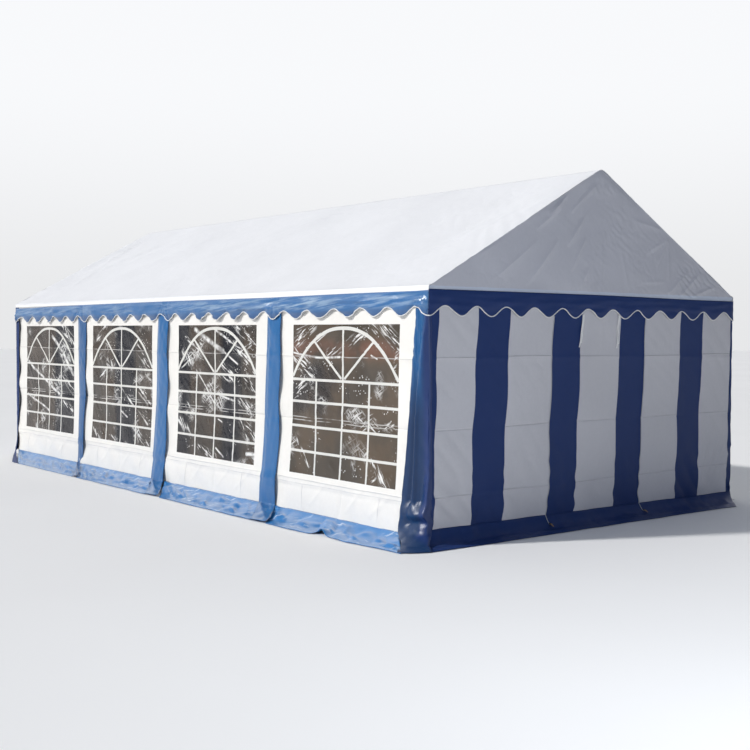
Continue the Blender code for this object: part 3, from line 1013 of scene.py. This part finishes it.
def make_window(side, bay, turned, seed):
    middle = bay_middle(bay)
    reach = WINDOW_HALF + FILM_LAP

    def surface(a, d):
        z = HEAD + FILM_LAP - d
        x = a + window_drift(bay, z)
        return x, -WALL_Y - film_out(x, z, bay, seed), z

    def on_film(x, z):
        x = middle + x + window_drift(bay, z)
        return x, -WALL_Y - film_out(x, z, bay, seed) - BAR_PROUD, z

    across = steps(middle - reach, middle + reach, pitch=FILM_STEP)
    down = steps(0, HEAD - SILL + 2 * FILM_LAP, pitch=FILM_STEP)
    film = cloth(
        f"{side}_bay_{bay + 1}_film",
        window_film,
        "window_film",
        grid(surface, across, down),
        over=(f"{side}_window_film_{bay + 1}",),
        turned=turned,
    )

    half = WINDOW_HALF
    ends = [((-half, height), (half, height)) for height in (TRANSOM, *PANE_ROWS)]
    for column in PANE_COLUMNS:
        ends.append(((column, SILL), (column, ARCH_TOP if column == 0 else TRANSOM)))
    for way in (-1, 1):
        ends.append(((way * STRUT_FOOT[0], STRUT_FOOT[1]), (way * STRUT_HEAD[0], STRUT_HEAD[1])))
    tapes = [ribbon(straight(*pair), BAR_WIDTH, on_film) for pair in ends]
    arch_x = np.linspace(-half, half, ARCH_POINTS)
    arch_z = ARCH_TOP - ARCH_FALL * np.abs(arch_x) ** ARCH_POWER
    tapes.append(ribbon(np.stack([arch_x, arch_z], axis=-1), ARCH_WIDTH, on_film))
    name = f"{side}_bay_{bay + 1}_bars"
    bars = cloth(name, cream_tape, "wall_cloth", *tapes, turned=turned)


# A blue border of glossy cloth runs down the right side of each window wall, over the post and
# over the edge of the next wall. It goes on over the ground as the end of the bay's flap, where
# its outer corner is rounded off. Its right edge is free and stands off a little.
BORDER_EDGE_TOP = (0.0, 0.097, 0.06, 0.12)
BORDER_EDGE_FOOT = (0.0, 0.05, 0.02, 0.055)
BORDER_STEP = 0.013
BORDER_ROW = 0.018
FLAP_LOW = 0.004
FLAP_EDGE = 0.404
FLAP_FALL = 3.2
FLAP_SLANT = (1.18, 1.15, 1.55, 1.85)
FLAP_ROUND = 0.05
FLAP_WAVE = 0.003
FLAP_NOTCH = ((2.9, 0.0), (3.05, 0.01), (3.18, 0.06), (3.35, 0.035), (3.55, 0.02), (4.08, 0.063))
FLAP_BLUE = (0.010, 0.190, 0.520)
FLAP_GLINT = (0.46, 0.60, 0.78, 1)
FOLD_BIG = 0.013
FOLD_ROLL = 0.012
FOLD_HIGH = 0.036
BORDER_SWAY = 0.009
BORDER_BODY = 0.010
BORDER_FOLD = 0.0025
BORDER_PLEAT = 0.026

flap_cloth = coated_cloth("flap_cloth", FLAP_BLUE, 0.30, 0.004, 9, coat=0.6, gloss=0.5, blur=0.17)


def flap_glints(place):
    """1 on short bright streaks, most of them running out from the wall."""
    out = abs(place.axis("Y"))
    runs = joined(place.axis("X") * 22 + out * 9, out * 7, 3.0).noise(1.0, 4, 0.6)
    laid = joined(place.axis("X") * 7 - out * 6, out * 26, 8.0).noise(1.0, 4, 0.6)
    patch = place.stretch(1, 1, 0).noise(2.6, 2).rise(0.42, 0.58)
    other = place.stretch(1, 1, 0).noise(3.7, 2).rise(0.48, 0.62)
    return (runs.rise(0.55, 0.66) * patch).maths("MAXIMUM", laid.rise(0.57, 0.68) * other) * 0.85


tint(flap_cloth, flap_glints, FLAP_GLINT)


def flap_edge(x, bay, seed):
    """How far the outer edge of a flap lies from the plane of the walls."""
    edge = FLAP_EDGE + FLAP_WAVE * ripples(x, 0 * x, seed + 7, 0.6)
    return edge - track(FLAP_NOTCH, x) if bay == 0 else edge


def flap_folds(x, f, seed, low=-4.2, high=4.2):
    """Loose folds across a flap, and sharper pleats that run out from the wall in places."""
    draw = np.random.default_rng(seed)
    out = FLAP_EDGE * f
    big = np.abs(ripples(x, out, seed, 0.36, 0.5, 0.5))
    roll = np.clip(ripples(x * 0.5, out, seed + 1, 0.20, 1.3, 0.3), 0, 2)
    where = patches(x + 9, f, seed + 3, 0.30)
    total = FOLD_BIG * big + FOLD_ROLL * roll * where
    for _ in range(round(5 * (high - low))):
        head = (draw.uniform(low, high), draw.uniform(-0.02, 0.10))
        foot = (head[0] + draw.uniform(-0.08, 0.16), head[1] + draw.uniform(0.12, 0.26))
        height = draw.uniform(0.014, 0.036)
        total = total + height * crease(x, out, head, foot, draw.uniform(0.016, 0.034))
    for _ in range(round(6 * (high - low))):
        at_x = draw.uniform(low, high)
        at_out = draw.uniform(0.10, 0.30)
        long = draw.uniform(0.035, 0.10)
        short = draw.uniform(0.022, 0.040)
        lean = draw.uniform(-0.6, 0.6)
        side = (x - at_x) * math.cos(lean) + (out - at_out) * math.sin(lean)
        ahead = (out - at_out) * math.cos(lean) - (x - at_x) * math.sin(lean)
        lump = np.exp(-((side / long) ** 2) - (ahead / short) ** 2)
        total = total + draw.uniform(0.018, 0.036) * lump
    total = FOLD_HIGH * np.tanh(total / FOLD_HIGH)
    return total * rise(f, 0, 0.28) * (0.25 + 0.75 * rise(1 - f, 0, 0.3))


def border_surface(bay, seed):
    post = post_x(bay)
    tall = WALL_TOP - WALL_FOOT

    def surface(a, t):
        d = np.minimum(t, tall)
        z = WALL_TOP - d
        start = seam_x(bay, z) - 0.003
        run = BORDER_EDGE_FOOT[bay] - BORDER_EDGE_TOP[bay]
        edge = post + BORDER_EDGE_TOP[bay] + run * lean_of(z)
        free = rise(d, 0.10, 0.35)
        edge = edge + BORDER_SWAY * np.sin(2 * math.pi * z / 0.65 + seed) * free
        f = np.clip((t - tall) / FLAP_EDGE, 0, 1)
        gone = np.clip((f - 0.55) / 0.45, 0, 1)
        edge = edge - FLAP_ROUND * (1 - np.sqrt(np.clip(1 - gone**2, 0, 1)))
        x = start + a * (edge - start)
        outer = flap_edge(x, bay, seed)
        out = wall_out(start, z, bay, seed) + 0.0012
        on_ground = out + (outer - out) * f
        x = x + FLAP_SLANT[bay] * (on_ground - out)
        body = BORDER_BODY * (np.sin(math.pi * a) ** 0.8 - 0.9 * np.exp(-(((a - 0.13) / 0.08) ** 2)))
        body = (body + BORDER_BODY * a) * free
        where = 0.2 + patches(x + 9, z, seed, 0.25)
        folds = BORDER_FOLD * ripples(x, z, seed + 5, 0.10, 0.3, 0.8) * where
        folds = folds * rise(a, 0, 0.1) * free
        pleat = BORDER_PLEAT * crease(a, f, (0.05, -0.10), (0.85, 0.80), 0.12)
        lift = pleat + 0.012 * rise(f, 0, 0.3) * a
        lift = lift + 0.5 * flap_folds(x, f, seed + 8, post - 0.4, post + 0.6)
        fall = (WALL_FOOT - FLAP_LOW) * (1 - f) ** FLAP_FALL + FLAP_LOW + 0.006 * rise(f, 0, 0.1)
        height = np.where(f > 0, fall + lift, z)
        return x, -WALL_Y - on_ground - (body + folds) * (1 - 0.6 * f) - 0.5 * pleat, height

    return surface


def far_side(place):
    """Some share on the borders away from the right end, which face the light less."""
    return 0.45 - 0.45 * place.axis("X").rise(-1.8, -0.3)


tint(blue_cloth, far_side, DEEP_BLUE)


def make_border(side, bay, turned, seed):
    surface = border_surface(bay, seed)
    top_wide = BORDER_EDGE_TOP[bay] - SEAM_TOP[bay]
    tall = WALL_TOP - WALL_FOOT
    across = np.linspace(0, 1, round(top_wide / BORDER_STEP))
    down = steps(0, tall, tall + FLAP_EDGE, pitch=BORDER_ROW)
    name = f"{side}_bay_{bay + 1}_border"
    sheet = grid(surface, across, down)
    border = cloth(name, blue_cloth, "blue_cloth", sheet, turned=turned, thick=CLOTH_THICK)


# A ground flap of the same blue cloth runs along the foot of each wall and out over the ground,
# in loose glossy folds. The first flap of a side has a hollow near its outer edge.
FLAP_STEP = 0.013
FLAP_ROWS = 25
HOLLOW_X = 3.16
HOLLOW_HALF = 0.055
HOLLOW_LIFT = 0.045


def make_flap(side, bay, turned, seed):
    post = post_x(bay)
    last = bay == BAYS - 1
    start = post - BAY + (0.15 if last else 0.03)
    start_slant = 2.46 if last else FLAP_SLANT[bay + 1]
    end = seam_x(bay, WALL_FOOT) + (0.014 if bay else 0.035)

    def surface(a, f):
        share = (a - start) / (end - start)
        slant = start_slant + (FLAP_SLANT[bay] - start_slant) * share
        outer = flap_edge(a + slant * 0.36, bay, seed)
        base = KICK + 0.001
        run = (outer - base) * f
        tilt = flap_folds(a, f, seed, start, end)
        z = FLAP_LOW + (WALL_FOOT + 0.003 - FLAP_LOW) * (1 - f) ** FLAP_FALL + tilt
        if bay == 0:
            hollow = np.exp(-(((a + slant * run - HOLLOW_X) / HOLLOW_HALF) ** 2))
            z = z + HOLLOW_LIFT * hollow * rise(f, 0.45, 1)
        return a + slant * run, -WALL_Y - base - run - 0.3 * tilt, np.maximum(z, FLAP_LOW)

    across = steps(start, end, pitch=FLAP_STEP)
    flap = cloth(
        f"{side}_bay_{bay + 1}_flap",
        flap_cloth,
        "blue_cloth",
        grid(surface, across, np.linspace(0, 1, FLAP_ROWS)),
        over=(f"{side}_ground_flap",),
        turned=turned,
        thick=CLOTH_THICK,
    )
    end - start


SIDES = (("front", False), ("back", True))
for side, turned in SIDES:
    for bay in range(BAYS):
        seed = 200 + 40 * bay + 400 * turned
        wall = make_window_wall(side, bay, turned, seed)
        make_window(side, bay, turned, seed)
        if bay:
            make_border(side, bay, turned, seed)
        make_flap(side, bay, turned, seed)

# The corners are closed by the same blue cloth. Beside the first bay of a side it is a broad
# band that sinks in beside the corner post, and at its foot it is drawn out and bunched into a
# fold. The band is painted darker as shade, less so at its top, and its side round the corner
# gets the ends' painted shade. At the other end of the side a narrow strip of the ends' blue,
# painted darker as shade, comes round.
CORNER_ROWS = (1.905, 1.78, 1.40, 1.00, 0.60, 0.34, 0.24, 0.17, 0.085, 0.03, 0.006)


def smooth_net(net, a, t):
    """Points on a smooth sheet through a net of control points, by column a and row t."""
    net = np.array(net) / 1000

    def weights(value, count):
        cell = np.clip(np.floor(value).astype(int), 0, count - 2)
        s = value - cell
        curve = (
            -0.5 * s + s**2 - 0.5 * s**3,
            1 - 2.5 * s**2 + 1.5 * s**3,
            0.5 * s + 2 * s**2 - 1.5 * s**3,
            -0.5 * s**2 + 0.5 * s**3,
        )
        places = [np.clip(cell + step, 0, count - 1) for step in (-1, 0, 1, 2)]
        return curve, places

    row_weights, rows = weights(t, net.shape[0])
    column_weights, columns = weights(a, net.shape[1])
    total = 0.0
    for row_weight, row in zip(row_weights, rows):
        for column_weight, column in zip(column_weights, columns):
            total = total + (row_weight * column_weight)[..., None] * net[row, column]
    return total


# Each row gives pairs, in millimetres, of the place along the side and how far the cloth stands
# out from the plane of the walls: the band from the seam of the first bay round the corner to
# the end wall, and the strip from the end wall round the corner to its free edge.
BAND_NET = (
    ((3902, 2), (3925, 3), (3945, 3), (3970, 3), (4000, 3), (4016, 0), (4025, -10), (4026, -30)),
    ((3890, 3), (3915, 4), (3940, 4), (3970, 5), (4000, 6), (4018, 2), (4027, -10), (4028, -30)),
    ((3855, 4), (3885, 12), (3915, 8), (3950, 20), (3985, 34), (4015, 12), (4038, -10), (4038, -30)),
    ((3818, 4), (3850, 1), (3893, -12), (3925, 36), (3955, 20), (4000, 4), (4036, -10), (4040, -30)),
    ((3781, 10), (3825, 3), (3872, -12), (3908, 38), (3942, 18), (3992, 2), (4038, -4), (4044, -30)),
    ((3757, 22), (3800, 16), (3852, -2), (3893, 42), (3932, 16), (3972, 2), (4046, 28), (4048, -30)),
    ((3748, 30), (3780, 40), (3840, 34), (3900, 56), (3950, 62), (3995, 50), (4048, 44), (4050, -28)),
    ((3741, 34), (3783, 36), (3850, 26), (3905, 34), (3960, 40), (4005, 36), (4050, 26), (4052, -25)),
    ((3735, 40), (3790, 58), (3860, 66), (3930, 72), (3990, 74), (4030, 66), (4068, 36), (4064, -10)),
    ((3880, 150), (3920, 172), (3960, 190), (4010, 200), (4060, 190), (4110, 160), (4150, 105), (4135, 70)),
    ((4080, 338), (4100, 330), (4125, 312), (4150, 285), (4175, 248), (4200, 195), (4225, 134), (4205, 110)),
)
STRIP_NET = (
    ((-4030, -30), (-4028, -14), (-4002, 3), (-3960, 4), (-3920, 2)),
    ((-4030, -30), (-4028, -14), (-4002, 3), (-3960, 6), (-3920, 3)),
    ((-4030, -30), (-4028, -13), (-4002, 5), (-3960, 10), (-3922, 5)),
    ((-4030, -30), (-4028, -13), (-4002, 5), (-3960, 12), (-3924, 7)),
    ((-4030, -30), (-4028, -12), (-4002, 6), (-3960, 14), (-3926, 12)),
    ((-4030, -30), (-4028, -12), (-4002, 6), (-3960, 18), (-3926, 24)),
    ((-4030, -30), (-4028, -10), (-4002, 8), (-3960, 24), (-3926, 30)),
    ((-4030, -30), (-4028, -10), (-4000, 10), (-3958, 30), (-3924, 36)),
    ((-4030, -20), (-4022, 0), (-3990, 28), (-3950, 50), (-3915, 52)),
    ((-3860, 100), (-3830, 115), (-3790, 128), (-3745, 134), (-3700, 136)),
    ((-3200, 385), (-3144, 400), (-3090, 404), (-3030, 405), (-2970, 405)),
)
BAND_WIDE = 0.30
STRIP_WIDE = 0.15
CORNER_ROW = 0.08
CORNER_FOLD = 0.0022
CORNER_CRINKLE = 0.0040
CORNER_CRUMPLE = 0.008
BUNCH_HIGH = 0.010
# The band's blue is painted darker, as painted shade.
BAND_SHADE_BLUE = (0.004, 0.034, 0.115)

band_cloth = coated_cloth("band_cloth", BAND_SHADE_BLUE, 0.36, 0.003, 8, coat=0.12, gloss=0.5, blur=0.3)


def band_shaded_side(place):
    """1 on the side of the band, round the corner, which gets the ends' painted shade."""
    return abs(place.axis("X")).rise(3.965, 4.015) * (1 - abs(place.axis("Y")).rise(2.02, 2.10))


def band_unshaded_top(place):
    """1 on the upper part of the band, where its painted shade gives way in part to plain blue."""
    return place.axis("Z").rise(0.9, 1.5) * 0.65


tint(band_cloth, band_unshaded_top, (*BLUE, 1))
tint(band_cloth, band_shaded_side, (*END_SHADE_BLUE, 1))


def corner_surface(net, seed):
    band = net is BAND_NET

    def surface(a, t):
        spots = smooth_net(net, a, t)
        x = spots[..., 0]
        z = np.interp(t, np.arange(len(CORNER_ROWS)), CORNER_ROWS)
        laid = rise(t, len(CORNER_ROWS) - 3.5, len(CORNER_ROWS) - 2)
        where = 0.3 + patches(x + 9, z, seed, 0.2)
        folds = CORNER_FOLD * ripples(x, z, seed, 0.10, 0.9, 0.7) * where
        crinkled = rise(z, 1.15, 1.45) * rise(4.0 - x, -0.02, 0.05) * band
        folds = folds + CORNER_CRINKLE * crinkled * ripples(x, z, seed + 2, 0.045, 0.9, 1.0)
        crumple = CORNER_CRUMPLE * np.abs(ripples(x, 0.06 * t, seed + 1, 0.22, 0.4, 1.0)) * laid
        crumple = crumple * rise(len(CORNER_ROWS) - 1 - t, 0, 0.8)
        line = z - 0.225 - 0.12 * (x - 3.93)
        bunch = np.exp(-((line / 0.03) ** 2)) - np.exp(-(((line + 0.06) / 0.025) ** 2))
        bunch = BUNCH_HIGH * bunch * rise(a, 0.6, 2.0) * band
        out = spots[..., 1] + folds * rise(t, 0.1, 0.6) + bunch
        return x, -WALL_Y - out - 0.002, np.maximum(z + crumple, FLAP_LOW)

    return surface


CORNERS = (
    ("band", BAND_NET, band_cloth, BAND_WIDE, 1),
    ("strip", STRIP_NET, end_shade_blue, STRIP_WIDE, BAYS + 1),
)
for side, turned in SIDES:
    for name, net, blue, wide, leg in CORNERS:
        count = len(net[0])
        across = np.linspace(0, count - 1, 6 * count)
        down = steps(*range(len(CORNER_ROWS)), pitch=CORNER_ROW)
        corner = cloth(
            f"{side}_corner_{name}",
            blue,
            "blue_cloth",
            grid(corner_surface(net, 900 + 17 * count + 3 * turned), across, down),
            over=(f"{side}_ground_flap",),
            turned=turned,
            thick=CLOTH_THICK,
        )

# The ends are closed by sheets sewn from breadths of white and blue cloth in turn. The middle
# three breadths are the door, between two zips that run to the ground. The long seams waver,
# and the folds of the packing cross all the breadths.
# The ends' white is painted darker and cooler than the sides', as painted shade.
END_SHADE_WHITE = (0.63, 0.63, 0.665)
BREADTH_EDGES = (
    -1.955, -1.878, -1.475, -1.120, -0.612, -0.262, 0.245, 0.590, 1.110, 1.455, 1.910, 1.955
)
DOOR_SEAMS = (4, 7)
DRIFT_TOP = 0.036
DRIFT_FOOT = -0.045
END_FOLDS = (1.41, 0.865, 0.355)
END_STEP = 0.016
WHITE_FOOT_NEAR = 0.125
WHITE_FOOT_FALL = 0.0107
END_SWAY = 0.006
END_WAVE = 0.003
END_FOLD = 0.004
END_SLANT = 0.006
END_LOW = 0.008
END_CORNER_FOLDS = 4
END_CORNER_FOLD = 0.012
SEAM_RIDGE = 0.0018
END_FLAP_EDGE = (
    (-2.09, 4.220), (-1.8, 4.237), (-1.0, 4.255), (-0.2, 4.270), (1.1, 4.300), (1.6, 4.325),
    (2.0, 4.33),
)
END_FLAP_FALL = 6
END_FLAP_CORNER = 0.34
END_FLAP_ROWS = 22

end_shade_white = coated_cloth("end_white_cloth", END_SHADE_WHITE, 0.5, 0.005, 7, folds=END_FOLDS)
END_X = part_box("right_end_wall")[1].x


def end_foot(y):
    """The height where the breadths end and the flap begins."""
    return WHITE_FOOT_NEAR - WHITE_FOOT_FALL * (y + 1.95)


def end_surface(seed):
    def surface(a, d):
        z = WALL_TOP + (end_foot(a) - WALL_TOP) * d
        held = 1 - (np.abs(a) / BREADTH_EDGES[-1]) ** 40
        low = rise(0.7 - z, 0, 0.4)
        y = a + held * (DRIFT_TOP + (DRIFT_FOOT - DRIFT_TOP) * d)
        y = y + held * END_SWAY * ripples(z, 0.4 * a, seed, 0.5, 0.0, 0.2)
        y = y + held * END_LOW * low * ripples(z, 0.6 * a, seed + 1, 0.22, 0.0, 0.2)
        deep = END_WAVE * ripples(a, z, seed + 2, 0.8, 0.8, 0.8)
        deep = deep + END_FOLD * packing_folds(a, z, seed)
        slant = np.abs(ripples(a, z, seed + 3, 0.30, 0.75, 0.35))
        deep = deep + END_SLANT * slant * patches(a + 9, z, seed + 4, 0.7) * (0.6 + low)
        deep = deep + END_LOW * low * ripples(a, z, seed + 5, 0.30, 0.5, 0.6)
        deep = deep + END_WAVE * crease(y, z, (0.02, 0.3), (0.03, 1.9), 0.010)
        for number in range(END_CORNER_FOLDS):
            start = (1.42 + 0.08 * number, 0.14)
            stop = (1.60 + 0.14 * number, 0.62)
            deep = deep + END_CORNER_FOLD * crease(y, z, start, stop, 0.02)
        for edge in BREADTH_EDGES[1:-1]:
            deep = deep + SEAM_RIDGE * np.exp(-np.abs(a - edge) / 0.009)
        return END_X + np.maximum(deep, -0.002) * rise(WALL_TOP - z, 0.06, 0.3), y, z

    return surface


def end_flap_surface(wall_surface, seed):
    def surface(a, f):
        x, y, z = wall_surface(a, np.ones_like(a))
        share = np.abs(a) / BREADTH_EDGES[-1]
        y = y - f * np.where(a < 0, 0.125 * share**6, END_FLAP_CORNER * share**4)
        edge = track(END_FLAP_EDGE, y) + 0.004 * ripples(a, 0 * a, seed, 0.5)
        tilt = 0.4 * flap_folds(a, f, seed + 11, -1.9, 1.9)
        fall = FLAP_LOW + (z + 0.002 - FLAP_LOW) * (1 - f) ** END_FLAP_FALL
        return x + 0.002 + (edge - x) * f, y, np.maximum(fall + tilt, FLAP_LOW)

    return surface


def make_end_wall(end, turned, seed):
    surface = end_surface(seed)
    across = steps(*BREADTH_EDGES, pitch=END_STEP)
    down = np.linspace(0, 1, round(WALL_TOP / END_STEP))
    seams = list(zip(BREADTH_EDGES, BREADTH_EDGES[1:]))
    for part in ("wall", "door"):
        for colour, material in (("white", end_shade_white), ("blue", end_shade_blue)):
            runs = [
                run for number, run in enumerate(seams)
                if (number % 2 == 1) == (colour == "white")
                and (DOOR_SEAMS[0] <= number < DOOR_SEAMS[1]) == (part == "door")
            ]

            def keep(a, d):
                return np.any([(a > low) & (a < high) for low, high in runs], axis=0)

            breadths = cloth(
                f"{end}_{part}_{colour}_breadths",
                material,
                "wall_cloth" if colour == "white" else "blue_cloth",
                grid(surface, across, down, keep),
                over=(f"{end}_end_{part}",),
                turned=turned,
            )
            WALL_TOP - end_foot(0)

    flap_surface = end_flap_surface(surface, seed)
    flap_across = steps(BREADTH_EDGES[0], BREADTH_EDGES[-1], pitch=FLAP_STEP)
    flap = cloth(
        f"{end}_flap",
        end_shade_blue,
        "blue_cloth",
        grid(flap_surface, flap_across, np.linspace(0, 1, END_FLAP_ROWS)),
        over=(f"{end}_ground_flap",),
        turned=turned,
        thick=CLOTH_THICK,
    )
    return surface, flap_surface


# Each zip is a coil of teeth down the edge of the door and half way over the flap, where it ends
# in a slider with a leather pull. Pairs of white ribbons hang from the top, to tie the door up.
ZIP_RADIUS = 0.0035
ZIP_END = 0.22
RIBBON_WIDTH = 0.012
RIBBON_TOP = 1.76
RIBBON_THICK = 0.0008
RIBBON_ROWS = 26
STRANDS = (
    ("near_1", -0.223, -0.270, 0.275),
    ("near_2", -0.212, -0.248, 0.240),
    ("far_1", 0.236, 0.214, 0.285),
    ("far_2", 0.246, 0.238, 0.250),
)
SLIDER_BLACK = (0.012, 0.012, 0.013)
PULL_TAN = (0.34, 0.22, 0.12)
SLIDER_SIZE = (0.026, 0.016, 0.012)
PULL_SIZE = (0.085, 0.020, 0.006)
TEETH_GREY = (0.42, 0.43, 0.46)
RIBBON_WHITE = (0.93, 0.93, 0.92)

zip_teeth = coated_cloth("zip_teeth", TEETH_GREY, 0.35, 0.0004, 300)
slider_metal = coated_cloth("slider_metal", SLIDER_BLACK, 0.3, 0.0002, 200)
pull_leather = coated_cloth("pull_leather", PULL_TAN, 0.55, 0.0006, 160)
ribbon_cloth = coated_cloth("ribbon_cloth", RIBBON_WHITE, 0.6, 0.0005, 90)


def shaped_block(name, size, at, tilt, taper, material, slot, turned):
    """A small block with rounded edges, which narrows towards its outer end."""
    body = bmesh.new()
    bmesh.ops.create_cube(body, size=1.0)
    for corner in body.verts:
        if corner.co.x > 0:
            corner.co.y *= taper
            corner.co.z *= taper
    bmesh.ops.transform(body, matrix=Matrix.Diagonal((*size, 1)), verts=body.verts)
    bmesh.ops.bevel(body, geom=body.edges, offset=min(size) * 0.25, segments=2, affect="EDGES")
    stand = Matrix.Translation(at) @ Matrix.Rotation(tilt[0], 4, "Y")
    stand = stand @ Matrix.Rotation(tilt[1], 4, "Z")
    if turned:
        stand = Matrix.Rotation(math.pi, 4, "Z") @ stand
    bmesh.ops.transform(body, matrix=stand, verts=body.verts)
    mesh = bpy.data.meshes.new(name)
    body.to_mesh(mesh)
    body.free()
    add_piece(name, mesh, material)


def make_zips(end, turned, surface, flap_surface):
    sign = -1 if turned else 1
    for side, number in zip(("near", "far"), DOOR_SEAMS):
        edge = BREADTH_EDGES[number]
        down = np.linspace(0.09, 1, 90)
        x, y, z = surface(np.full_like(down, edge), down)
        hung = np.stack([x + 0.003, y, z], axis=-1)
        over = np.linspace(0.04, ZIP_END, 12)
        x, y, z = flap_surface(np.full_like(over, edge), over)
        laid = np.stack([x + 0.001, y, z + 0.004], axis=-1)
        line = np.vstack([hung, laid])
        points = (line * (sign, sign, 1)).tolist()
        tube(f"{end}_door_zip_{side}", points, ZIP_RADIUS, zip_teeth)
        at = line[-1] + (0.008, 0.0, 0.007)
        look = (slider_metal, "galvanised_steel", turned)
        shaped_block(f"{end}_zip_slider_{side}", SLIDER_SIZE, at, (0.25, 0.0), 0.8, *look)
        at = at + (0.040, -0.026, -0.002)
        look = (pull_leather, "wall_cloth", turned)
        shaped_block(f"{end}_zip_pull_{side}", PULL_SIZE, at, (0.10, -0.6), 0.45, *look)

    for name, top, foot, length in STRANDS:

        def hang(across, d):
            z = RIBBON_TOP - length * d
            y = top + (foot - top) * d + across * RIBBON_WIDTH / 2 + 0.004 * np.sin(9 * d + length)
            return END_X + 0.011 + 0.003 * np.sin(7 * d + 9 * top) + 0 * y, y, z

        strip = grid(hang, np.array([-1.0, 0.0, 1.0]), np.linspace(0, 1, RIBBON_ROWS))
        tie = cloth(
            f"{end}_ribbon_{name}",
            ribbon_cloth,
            "wall_cloth",
            strip,
            turned=turned,
            thick=RIBBON_THICK,
        )


for end, turned in ENDS:
    make_zips(end, turned, *make_end_wall(end, turned, 1000 + 50 * turned))


# Wing screws hold each tube in its sleeve, on the inner side of the frame.
SLEEVE_RADIUS = 0.022
SCREW_AT = 0.09
SHANK_LONG = 0.02
SHANK_RADII = (0.0045, 0.0035)
WING_PLACE = (0.009, 0.021)
WING_SIZE = (0.016, 0.003, 0.010)
WING_SPLAY = 0.5


def make_wing_screws():
    body = bmesh.new()
    slope = math.atan(PITCH)
    ridge_z = WALL_TOP + POST_Y * math.tan(slope)
    up = Vector((0, math.cos(slope), math.sin(slope)))
    for number in range(BAYS + 1):
        x = post_x(number)
        joints = []
        for side in (-1, 1):
            joint = Vector((x, side * POST_Y, WALL_TOP))
            joints.append((joint + Vector((0, 0, -SCREW_AT)), Vector((0, -side, 0))))
            rafter = joint + Vector((0, -side * up.y, up.z)) * SCREW_AT
            joints.append((rafter, Vector((0, -side * up.z, -up.y))))
            for way in (-1, 1):
                joints.append((joint + Vector((way * SCREW_AT, 0, 0)), Vector((0, -side, 0))))
            head = Vector((x, 0, ridge_z)) + Vector((0, side * up.y, -up.z)) * SCREW_AT
            joints.append((head, Vector((0, -side * up.z, -up.y))))
        for spot, way in joints:
            if abs(spot.x) > POST_X:
                continue
            stand = Matrix.Translation(spot + way * SLEEVE_RADIUS)
            stand = stand @ way.to_track_quat("Z", "X").to_matrix().to_4x4()
            bmesh.ops.create_cone(
                body, cap_ends=True, segments=10, radius1=SHANK_RADII[0], radius2=SHANK_RADII[1],
                depth=SHANK_LONG, matrix=stand @ Matrix.Translation((0, 0, SHANK_LONG / 2)),
            )
            for side in (-1, 1):
                wing = stand @ Matrix.Translation((side * WING_PLACE[0], 0, WING_PLACE[1]))
                wing = wing @ Matrix.Rotation(side * WING_SPLAY, 4, "Y")
                wing = wing @ Matrix.Diagonal((*WING_SIZE, 1))
                bmesh.ops.create_icosphere(body, subdivisions=1, radius=0.6, matrix=wing)
    mesh = bpy.data.meshes.new("wing_screws")
    body.to_mesh(mesh)
    body.free()
    mesh.shade_smooth()
    add_piece("wing_screws", mesh, zinc)


make_wing_screws()

# The studio: a plain pale floor without edges in view, a soft key light from the front left, a
# weak cool fill at the near corner, and pale surroundings that are darker towards the right end.
FLOOR_REACH = 90
FLOOR_DARK = (0.87, 0.87, 0.87, 1)
FLOOR_LIGHT = (0.90, 0.90, 0.90, 1)
KEY_FROM = Vector((-0.35, -0.74, 0.57))
KEY_STRENGTH = 2.75
KEY_SOFTNESS = math.radians(4)
KEY_COLOUR = (1.0, 0.985, 0.96)
SKY_BRIGHT = (0.94, 0.95, 0.97, 1)
SKY_HORIZON = (0.80, 0.805, 0.815, 1)
SKY_MIDDLE = (0.25, 0.27, 0.31, 1)
SKY_DIM = (0.08, 0.095, 0.135, 1)
FILL_PLACE = (9.0, -3.6, 2.3)
FILL_AIM = (4.0, -1.6, 1.0)
FILL_SIZE = 2.8
FILL_POWER = 50
FILL_COLOUR = (0.84, 0.91, 1.0)

floor_material, shader, place = start_material("studio_floor", Roughness=0.8)
shade = place.noise(0.25).rise(0.2, 0.8)
feed(shader, Base_Color=shade.mix(FLOOR_DARK, FLOOR_LIGHT))
floor_mesh = bpy.data.meshes.new("studio_floor")
corners = [(-1, -1), (1, -1), (1, 1), (-1, 1)]
floor_mesh.from_pydata([(x * FLOOR_REACH, y * FLOOR_REACH, -0.001) for x, y in corners], [], [range(4)])
floor_mesh.materials.append(floor_material)
floor = add_object("studio_floor", floor_mesh)

key = bpy.data.lights.new("key", "SUN")
key.energy = KEY_STRENGTH
key.angle = KEY_SOFTNESS
key.color = KEY_COLOUR
key_light = add_object("key", key)
key_light.rotation_euler = KEY_FROM.to_track_quat("Z", "Y").to_euler()

fill = bpy.data.lights.new("fill", "AREA")
fill.energy = FILL_POWER
fill.size = FILL_SIZE
fill.color = FILL_COLOUR
fill_light = add_object("fill", fill)
fill_light.location = FILL_PLACE
fill_aim = Vector(FILL_PLACE) - Vector(FILL_AIM)
fill_light.rotation_euler = fill_aim.to_track_quat("Z", "Y").to_euler()

surroundings = bpy.data.worlds.new("surroundings")
surroundings.use_nodes = True
bpy.context.scene.world = surroundings
tree = surroundings.node_tree
way = Flow(tree).node("ShaderNodeTexCoord", {}, {}, 0)
behind = way.axis("X") * -0.78 + way.axis("Y") * 0.63
right = way.axis("X") + way.axis("Y") * 0.3
backdrop = way.axis("Z").rise(-0.01, 0.22).mix(SKY_HORIZON, SKY_BRIGHT)
sky = right.rise(0, 0.8).mix(behind.rise(0.2, 0.85).mix(SKY_MIDDLE, backdrop), SKY_DIM)
tree.links.new(sky.socket, tree.nodes["Background"].inputs["Color"])
bpy.context.scene.view_settings.view_transform = "Standard"
